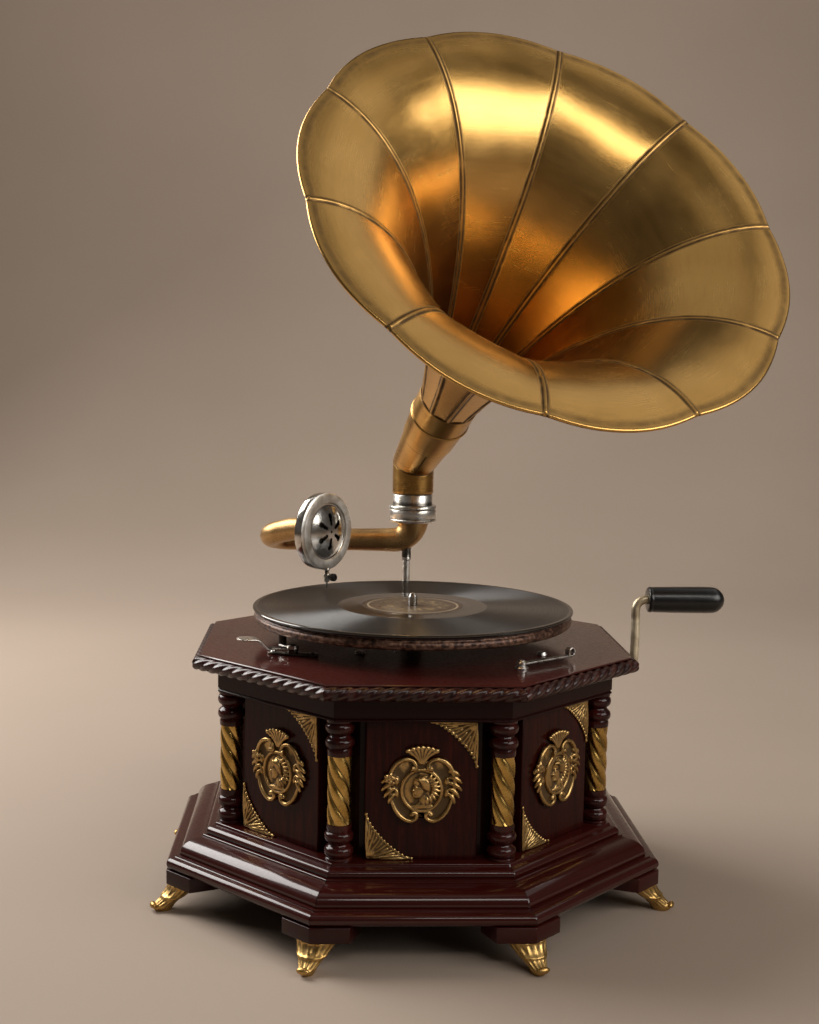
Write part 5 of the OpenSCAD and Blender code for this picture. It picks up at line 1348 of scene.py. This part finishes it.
# Gooseneck: a bent bronze tube that twists on the arm's spigot, so that the
# soundbox can be turned up to change the needle.
box_turn, box_place = math.radians(-37.7), np.array((-71.956, 78.658, 264.5))
box_face = np.array((math.cos(box_turn), math.sin(box_turn), 0.0))
bend, box_half, boss_length = 18.0, 6.75, 9.0
bend_y = arm_y - bend
bend_x = box_place[0] + (bend - (bend_y - box_place[1]) * box_face[0]) / -box_face[1]
bend_centre = np.array((bend_x, bend_y))
bend_length = bend * (math.pi + box_turn)
bend_end = np.array(around(bend_centre, bend, math.radians(270) + box_turn))
neck_end = box_place - (box_half + boss_length) * box_face
neck_length = bend_length + np.linalg.norm(neck_end[:2] - bend_end)


def neck_place(s):
    """A point of the gooseneck's middle line, at a length from the start of its bend."""
    if s < 0:
        x, y = bend_x - s, arm_y
    elif s < bend_length:
        x, y = around(bend_centre, bend, math.pi / 2 + s / bend)
    else:
        x, y = bend_end + (s - bend_length) * box_face[:2]
    q = min(1.0, max(0.0, s / (neck_length - 5)))
    return x, y, arm_height + (box_place[2] - arm_height) * q * q * (3 - 2 * q)


neck_start, neck_half, neck_steps = bend_x - swivel + 0.4, 9.6, 42
# The ferrule at the swivel: length from the start, and radius.
ferrule = ((0, 9.4), (0.35, 9.9), (0.6, 10.0), (4.6, 10.0), (5.0, 9.7), (5.6, 9.7), (6.0, 10.0), (16.2, 10.0),
           (16.8, 9.65))
neck_stops = [neck_start + s for s, _ in ferrule]
neck_stops += [*np.linspace(neck_start + 18.5, neck_length - 0.5, neck_steps), neck_length]
neck_sizes = [*[r for _, r in ferrule], *[neck_half] * neck_steps, 9.2]
gooseneck = swept("gooseneck_bronze", [neck_place(s) for s in neck_stops], neck_sizes, 48)
join(gooseneck, lathe(
    "neck_ring",
    [(0, -2), (9.6, -2), (9.9, -1.7), (9.9, 0.1), (9.5, 0.45), (6.38, 0.5), (6.38, 7.9), (0, 7.9)],
    neck_end, box_face, 48))
relief(gooseneck, rounds=3, scale=0.5)
dress(gooseneck, arm_bronze)
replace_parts(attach(gooseneck, "neck"), "gooseneck")

# Soundbox case: a turned drum with a hollow boss behind, polished and
# nickelled; it is pushed on the gooseneck's spigot.
box_bore = 6.46
soundbox_case = lathe(
    "soundbox_case_nickel",
    [(box_bore, -14.84), (9.0, -14.84), (9.4, -14.4), (9.4, -9.0), (9.9, -8.0), (11.5, -7.6), (26.8, -6.9),
     (28.2, -6.6), (31.2, -4.6), (31.7, -4.2), (31.7, -3.7), (32.0, -3.4), (32.0, 2.2), (31.8, 2.6),
     (30.0, 2.75), (30.0, -1), (28, -1), (28, -4.3), (box_bore, -5.3), (box_bore, -14.84)],
    box_place, box_face, 96)
relief(soundbox_case, rounds=2, scale=0.35)
bright_nickel = plated("bright_nickel", (0.88, 0.86, 0.83), rough=0.12, dull=0.08, scratch=0.2)
dress(soundbox_case, bright_nickel)
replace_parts(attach(soundbox_case, "soundbox"), "soundbox_case")

# Soundbox cover: a pressed and nickelled face, a flat ring round a low dome
# that is pierced with six three-lobed slots; it sits on the rim of the drum.
cover_thick, dome_edge, ring_inner = 1.4, 21.2, 23.4
dome = [(r, 9.75 - 0.00987 * r * r) for r in np.linspace(dome_edge, 0, 12)]
cover = spun(
    "soundbox_cover_nickel",
    [(0, 8.35), *[(r, z - cover_thick) for r, z in reversed(dome[2:-1])], (20.6, 2.9), (21.5, 2.78),
     (31.6, 2.78), (32.0, 3.1), (32.0, 5.6), (31.8, 6.1), (31.3, 6.5), (30.6, 6.75), (24.9, 6.75),
     (24.4, 6.6), (24.1, 6.2), (23.6, 5.3), (23.0, 5.0), (22.2, 5.0), (21.7, 5.15), *dome], 96, 0, 28)
# Each lobe of a slot: its place along the slot, its radius and the arc of it that shows.
half_slot = []
for centre, r, first, last in ((6.7, 1.6, 180, 52), (9.6, 1.85, 128, 52), (13.2, 2.45, 128, 0)):
    half_slot += [around((centre, 0), r, a) for a in np.radians(np.linspace(first, last, 9))]
slot = slab("slot", half_slot + [(x, -y) for x, y in half_slot[-2:0:-1]], 2, 12)
slot.data.transform(Matrix.Rotation(math.radians(30), 4, "Z"))
all_round(slot, 0, 6)
cut_out(cover, slot, spun("pin_hole", [(0, 2), (1.2, 2), (1.2, 12), (0, 12)], 24))
cover_nickel = plated("cover_nickel", (0.86, 0.84, 0.80), rough=0.13, dull=0.10, dirt=False)
satin_nickel = plated("satin_nickel", (0.96, 0.94, 0.90), rough=0.48, dull=0.08, dirt=False)
dress(cover, cover_nickel, satin_nickel)
for face in cover.data.polygons:
    face.material_index = int(face.center.xy.length > ring_inner * MM)
cover.data.transform(laid(box_place, box_face))
choose(cover)
bpy.ops.object.shade_smooth_by_angle(angle=math.radians(28))
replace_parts(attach(cover, "soundbox"), "soundbox_cover")

# Diaphragm: a disc of split mica behind the cover, clamped between two rubber
# rings in the drum.
mica, tree, skin, spot = material("mica")
flake = noise(tree, spot, 120.0, 4.0, Distortion=1.5)
set_skin(
    tree, skin, Base_Color=ramp(tree, flake, (0.35, (0.040, 0.032, 0.022)), (0.65, (0.085, 0.070, 0.050))),
    Roughness=ramp(tree, flake, (0.3, 0.16), (0.7, 0.32)), Transmission_Weight=0.35)
dress(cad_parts["diaphragm"], mica)

# Needle holder: a turned nickelled chuck at the end of the stylus bar, bored
# for the needle and cross drilled for its screw.
needle_out, chuck_bore = 5.0, 0.8
chuck_foot = box_place + needle_out * box_face
needle_holder = lathe(
    "needle_holder_nickel",
    [(chuck_bore, -42.5), (1.5, -42.5), (1.85, -42.2), (2.7, -41.0), (2.8, -40.7), (2.8, -35.9), (2.6, -35.5),
     (2.0, -35.2), (1.75, -34.8), (1.75, -33.2), (2.1, -32.8), (2.7, -32.5), (2.7, -31.2), (2.4, -30.6),
     (0, -30.5), (0, -35), (chuck_bore, -35), (chuck_bore, -42.5)],
    chuck_foot, steps=32)
clear()
bpy.ops.mesh.primitive_cube_add(
    size=1, scale=(3.8 * MM, 4.6 * MM, 1.5 * MM), location=(-1.9 * MM, 0, -31.0 * MM))
stylus_foot = bpy.context.object
bpy.ops.object.transform_apply(location=True, scale=True)
work_on(stylus_foot)
bpy.ops.mesh.bevel(offset=0.4 * MM, segments=3, affect="EDGES")
closed_up(stylus_foot, 35)
stylus_foot.data.transform(Matrix.Translation(Vector(chuck_foot) * MM) @ Matrix.Rotation(box_turn, 4, "Z"))
join(needle_holder, stylus_foot)
relief(needle_holder, rounds=2, scale=0.25)
dress(needle_holder, nickel)
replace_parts(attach(needle_holder, "soundbox"), "needle_holder")

# Needle: a hardened steel pin ground to a round point, pushed up into the
# chuck.
needle = lathe(
    "needle_steel",
    [(0, -48.0), (0.12, -47.96), (0.22, -47.6), (0.42, -46.9), (0.66, -46.2), (0.75, -45.7), (0.75, -35.7),
     (0.6, -35.5), (0, -35.5)], chuck_foot, steps=24)
dress(needle, steel)
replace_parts(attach(needle, "soundbox"), "needle")

# Thumb screw: a black lacquered knob with a milled edge on a short steel
# screw, pinching the needle.
knob_points, knob_teeth, screw_drop = 96, 24, -38.0
# Radius, length and depth of the milling.
knob_rings = (
    (0, 4.5, 0), (1.4, 4.5, 0), (2.3, 4.55, 0), (2.8, 4.8, 0.1), (3.15, 5.2, 0.22), (3.2, 5.5, 0.28),
    (3.2, 8.2, 0.28), (3.1, 8.6, 0.2), (2.7, 9.0, 0.05), (2.2, 9.1, 0), (1.4, 8.8, 0), (0, 8.7, 0))
knob_rows = []
for r, x, depth in knob_rings:
    row = []
    for k in range(knob_points + 1):
        a = 2 * math.pi * k / knob_points
        milled = r - depth * (0.5 - 0.5 * math.cos(knob_teeth * a))
        row.append((milled * math.cos(a), milled * math.sin(a), x))
    knob_rows.append(row)
thumb_screw = sheet("thumb_screw_black", knob_rows, 40)
join(thumb_screw, spun("screw_shank", [(0, 1), (0.8, 1), (1.1, 1.3), (1.1, 4.8), (0, 4.8)], 24))
thumb_screw.data.transform(laid(chuck_foot + np.array((0, 0, screw_drop)), box_face))
black_knob = japanned("black_knob", (0.008, 0.007, 0.007), rough=0.22, worn=(0.020, 0.017, 0.015))
dress(thumb_screw, black_knob)
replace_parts(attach(thumb_screw, "needle_screw"), "thumb_screw")

# Horn pipe: brass tube and cones rolled from sheet, mitred at the elbow and
# soldered end to end; it drops over the collar's spigot and turns there.
horn_tilt, horn_yaw = math.radians(37.3), math.radians(18.7)
horn_elbow = np.array((collar_x, arm_y, 317.5))
horn_along = np.array((math.cos(horn_tilt) * math.sin(horn_yaw), -math.cos(horn_tilt) * math.cos(horn_yaw),
                       math.sin(horn_tilt)))
horn_across = np.array((math.cos(horn_yaw), math.sin(horn_yaw), 0.0))
horn_over = np.cross(horn_along, horn_across)
horn_level = np.array((-math.sin(horn_yaw), math.cos(horn_yaw), 0.0))
horn_step, pipe_low, socket_top = 3.75, 291.8, 306.8
horn_round = np.radians(np.arange(97) * horn_step)[:, None]
pipe_points = len(horn_round)
seam_first = math.radians(143.9)


def pipe_ring(z, r):
    """A level ring of the upright pipe."""
    centre = np.array((*horn_elbow[:2], z))
    return centre + r * (np.cos(horn_round) * horn_across + np.sin(horn_round) * horn_level)


def mitre_ring(r):
    """The pipe's end, cut where it meets the slanting neck."""
    ring = pipe_ring(horn_elbow[2], r)
    cut = horn_along + np.array((0, 0, 1.0))
    ring[:, 2] -= ((ring - horn_elbow) @ cut) / cut[2]
    return ring


def neck_ring(s, r):
    """A ring square to the horn's axis."""
    return horn_elbow + s * horn_along + r * (np.cos(horn_round) * horn_across + np.sin(horn_round) * horn_over)


def brushed_brass(name, bright, dull, grime, rough, lines, throat_shade):
    """Old brass sheet, brushed one way, with dirt where its grime mark is high, and painted shade: a browner,
    darker tone where its depth mark is high.
    """
    made, tree, skin, spot = material(name)
    flat = add(tree, "UVMap", uv_map="UVMap").outputs[0]
    across = noise(tree, flat, 1.0, 4.0, (34, 2600, 1), Roughness=0.7)
    along = noise(tree, flat, 1.0, 3.0, (1900, 22, 1))
    cloud = noise(tree, spot, 17.0, 5.0, Distortion=0.8)
    smear = noise(tree, flat, 1.0, 5.0, (12, 45, 1), Distortion=1.2)
    specks = noise(tree, spot, 520.0, 2.0)
    tone = ramp(tree, cloud, (0.34, dull), (0.66, bright))
    for share, stain in (
            (0.22, ramp(tree, smear, (0.30, (0.66, 0.60, 0.50)), (0.56, 1.0))),
            (0.35, ramp(tree, across, (0.36, 0.55), (0.56, 1.0))),
            (0.7, ramp(tree, specks, (0.22, 0.3), (0.29, 1.0)))):
        tone = mixed(tree, "MULTIPLY", share, tone, stain)
    # Painted shade: the depth mark mixes in the darker, browner throat shade colour.
    tone = mixed(tree, "MIX", ramp(tree, marked(tree, "depth"), (0.0, 0.0), (1.0, 0.85)), tone, throat_shade)
    patches = ramp(tree, noise(tree, spot, 95.0, 4.0), (0.3, 0.55), (0.62, 1.0))
    dirt = ramp(tree, times(tree, marked(tree, "grime"), patches), (0.08, 0.0), (0.75, 0.93))
    gloss = ramp(tree, mixed(tree, "MIX", 0.5, cloud, smear), (0.36, rough - 0.02), (0.62, rough + 0.04))
    gloss = mixed(tree, "ADD", 0.06, gloss, across)
    lay = bump(tree, across, 0.00006, lines)
    lay = bump(tree, along, 0.00004, 0.6 * lines, lay)
    set_skin(
        tree, skin, Base_Color=mixed(tree, "MIX", dirt, tone, grime),
        Metallic=ramp(tree, dirt, (0.0, 1.0), (1.0, 0.6)),
        Roughness=mixed(tree, "MIX", dirt, gloss, (0.55, 0.55, 0.55)),
        Normal=bump(tree, noise(tree, spot, 30.0, 1.0), 0.0009, 0.05, lay),
        Tangent=add(tree, "Tangent", direction_type="UV_MAP", uv_map="UVMap").outputs[0],
        Anisotropic=0.4, Anisotropic_Rotation=0.25)
    return made


pipe_half, joint_at, joint_half, neck_mouth = 18.0, 43.0, 22.0, 98.0
lap_seam = np.zeros(pipe_points)
lap_seam[round((math.degrees(seam_first) + 108) / horn_step)] = 1.0
# Each ring of the pipe with its dirt, up the outside and back down the bore.
pipe_rings = [(pipe_ring(z, r), dirt) for z, r, dirt in (
    (pipe_low, 17.2, 0.6), (pipe_low, 17.7, 0.5), (292.3, pipe_half, 0.15), (294.0, pipe_half, 0.05),
    (300.0, pipe_half, 0.0))]
for gap, r, dirt in ((-1.6, pipe_half, 0.0), (-0.7, 18.02, 0.45), (0, 17.75, 1.0)):
    pipe_rings.append((mitre_ring(r) + np.array((0, 0, gap)), dirt))
elbow_cut, cone_end = mitre_ring(pipe_half), neck_ring(joint_at, joint_half)
for t, dirt in ((0.015, 0.45), (0.04, 0.0), (0.3, 0.0), (0.6, 0.0), (0.95, 0.0), (0.985, 0.55)):
    pipe_rings.append(((1 - t) * elbow_cut + t * cone_end, np.maximum(lap_seam, dirt)))
pipe_rings += [(neck_ring(s, r), dirt) for s, r, dirt in (
    (joint_at, 21.95, 1.0), (43.05, 22.6, 0.75), (43.6, 22.72, 0.15), (45.5, 22.85, 0.0), (58, 23.7, 0.0),
    (70.6, 24.7, 0.0), (71.4, 24.75, 0.6), (71.7, 24.85, 0.75), (72.0, 25.3, 0.25), (72.5, 25.75, 0.0),
    (73.1, 25.9, 0.0), (73.7, 25.75, 0.0), (74.2, 25.3, 0.25), (74.5, 24.95, 0.75), (74.9, 24.9, 0.5),
    (76, 24.95, 0.0), (86, 25.15, 0.0), (95.8, 25.35, 0.0), (97.0, 25.35, 0.5), (neck_mouth, 25.1, 1.0),
    (neck_mouth, 24.5, 1.0), (86, 24.1, 0.3), (73, 23.9, 0.3), (joint_at, 21.0, 0.3))]
pipe_rings.append((mitre_ring(17.0), 0.4))
pipe_rings += [(pipe_ring(z, r), 0.4) for z, r in (
    (socket_top, 17.0), (socket_top, 16.06), (pipe_low, 16.06), (pipe_low, 17.2))]
pipe_rows = [ring for ring, _ in pipe_rings]
climb = np.cumsum([0] + [np.linalg.norm(b - a, axis=1).mean() for a, b in zip(pipe_rows, pipe_rows[1:])])
# No painted throat shade on the pipe: its depth mark is zero throughout.
horn_pipe = sheet(
    "horn_pipe_brass", pipe_rows, 70, grime=[np.broadcast_to(dirt, pipe_points) for _, dirt in pipe_rings],
    depth=[np.zeros(pipe_points)] * len(pipe_rows),
    uv=[[(0.0013 * k, h * MM) for k in range(pipe_points)] for h in climb])
pipe_brass = brushed_brass(
    "pipe_brass", (0.74, 0.435, 0.140), (0.52, 0.285, 0.078), (0.042, 0.019, 0.006),
    rough=0.25, lines=0.5, throat_shade=(0.30, 0.13, 0.03))
dress(horn_pipe, pipe_brass)
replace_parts(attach(horn_pipe, "horn"), "horn_pipe")

# Horn bell: ten tapered brass petals, hammered a little hollow and locked
# along raised seams, with the rim rolled back over a wire.
bell_knots = np.array(((neck_mouth, 25), (232.8, 53.3), (313.6, 110.7), (316, 178)), float)
petal_count, petal_columns = 10, 14
petal_angle = 2 * math.pi / petal_count
petal_bulge, petal_flat, sheet_half, wire = 4.0, 0.85, 0.5, 1.4
# Across half a seam: distance from its middle, rise and dirt.
seam_places = np.array((0, 0.6, 1.1, 1.65, 2.4, 3.8))
seam_rise = np.array((0.95, 0.82, 0.42, -0.16, -0.04, 0.0))
seam_dirt = np.array((0.22, 0.26, 0.7, 1.0, 0.62, 0.0))


def bell_point(u):
    """Place on the bell's curve (along, out), and the directions along it and out of its back."""
    v = 1 - u
    weights = np.array((v**3, 3 * u * v**2, 3 * u * u * v, u**3))
    ahead = np.array((-3 * v**2, 3 * v**2 - 6 * u * v, 6 * u * v - 3 * u * u, 3 * u * u)) @ bell_knots
    ahead /= np.linalg.norm(ahead)
    return weights @ bell_knots, ahead, np.array((-ahead[1], ahead[0]))


def across_petal(seam, middle):
    """Values from the middle of one seam to just short of the next."""
    return np.concatenate((seam, middle, seam[:0:-1]))


def bell_row(u, shift_along, shift_back, side):
    """One ring of the bell with its dirt, depth (painted throat shade) and flat map; side is -1 in front and 1
    behind.
    """
    q, e, back = bell_point(u)
    arc_length = petal_angle * q[1]
    seam_edge = seam_places[-1]
    places = np.concatenate((
        seam_places, np.linspace(seam_edge, arc_length - seam_edge, petal_columns + 2)[1:-1],
        arc_length - seam_places[:0:-1]))
    rise = across_petal(seam_rise, np.zeros(petal_columns)) * min(1.0, 0.45 + 1.6 * u)
    dirt = across_petal(seam_dirt, np.zeros(petal_columns))
    f = places / arc_length
    chord = q[1] * (math.cos(petal_angle / 2) / np.cos((f - 0.5) * petal_angle) - 1)
    toward_rim = min(1.0, max(0.0, (u - 0.62) / 0.36))
    hollow = petal_bulge * u**3 * np.sin(np.pi * f) + petal_flat * (1 - toward_rim**2) * chord
    points, flat = [], []
    for i in range(petal_count):
        a = (seam_first + (i + f) * petal_angle)[:, None]
        dent = 0.20 * u * np.sin(np.pi * f) ** 2 * (
            np.sin(5.1 * f + 9.0 * u + 1.7 * i) * np.sin(7.0 * u + 2.3 * i)
            + 0.6 * np.sin(11.0 * f - 15.0 * u + 2.9 * i))
        d = shift_back + side * rise * (0.25 if shift_along > 0.2 else 1.0) + dent
        along = (q[0] + e[0] * shift_along + back[0] * d)[:, None]
        out = (q[1] + e[1] * shift_along + back[1] * d + hollow)[:, None]
        points.append(horn_elbow + along * horn_along + out * (np.cos(a) * horn_across + np.sin(a) * horn_over))
        flat += [((x - arc_length / 2 + 370 * i) * MM, 0.30 * u) for x in places]
    ring = np.vstack(points)
    flat.append((flat[-1][0] + 0.7 * MM, flat[-1][1]))
    rim_dirt, from_rim = 0.0, (1 - u) * 190
    if shift_along == 0:
        rim_dirt = 0.62 * bell_of(from_rim, 3.2, 2.6) if side < 0 else 0.8 * bell_of(from_rim, 1.0, 2.0)
    dirt = np.maximum(np.tile(dirt, petal_count), rim_dirt)
    # Painted shade: inside the bell the depth mark rises toward the throat; the outer face takes a quarter of
    # it all over.
    depth = max(0.0, 1 - u / 0.42) ** 0.8 if side < 0 else 0.25
    return np.vstack((ring, ring[:1])), np.append(dirt, dirt[0]), np.full(len(dirt) + 1, depth), flat


stops = 1 - (1 - np.linspace(0, 1, 64)) ** 1.25
bell_rows = [bell_row(u, 0.0, -sheet_half, -1) for u in stops]
for turn in np.radians(np.linspace(-68, 190, 13)):
    bell_rows.append(bell_row(1.0, wire * math.cos(turn), wire - sheet_half + wire * math.sin(turn), 1))
bell_rows += [bell_row(u, 0.0, sheet_half, 1) for u in stops[-3::-1]]
bell_rows.append(bell_rows[0])
bell_points, bell_dirt, bell_throat_shade, bell_flat = zip(*bell_rows)
horn_bell = sheet("horn_bell_brass", bell_points, 75, grime=bell_dirt, depth=bell_throat_shade, uv=bell_flat)
bell_brass = brushed_brass(
    "bell_brass", (0.80, 0.478, 0.152), (0.69, 0.400, 0.118), (0.048, 0.021, 0.007),
    rough=0.21, lines=0.5, throat_shade=(0.34, 0.172, 0.046))
dress(horn_bell, bell_brass)
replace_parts(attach(horn_bell, "horn"), "horn_bell")
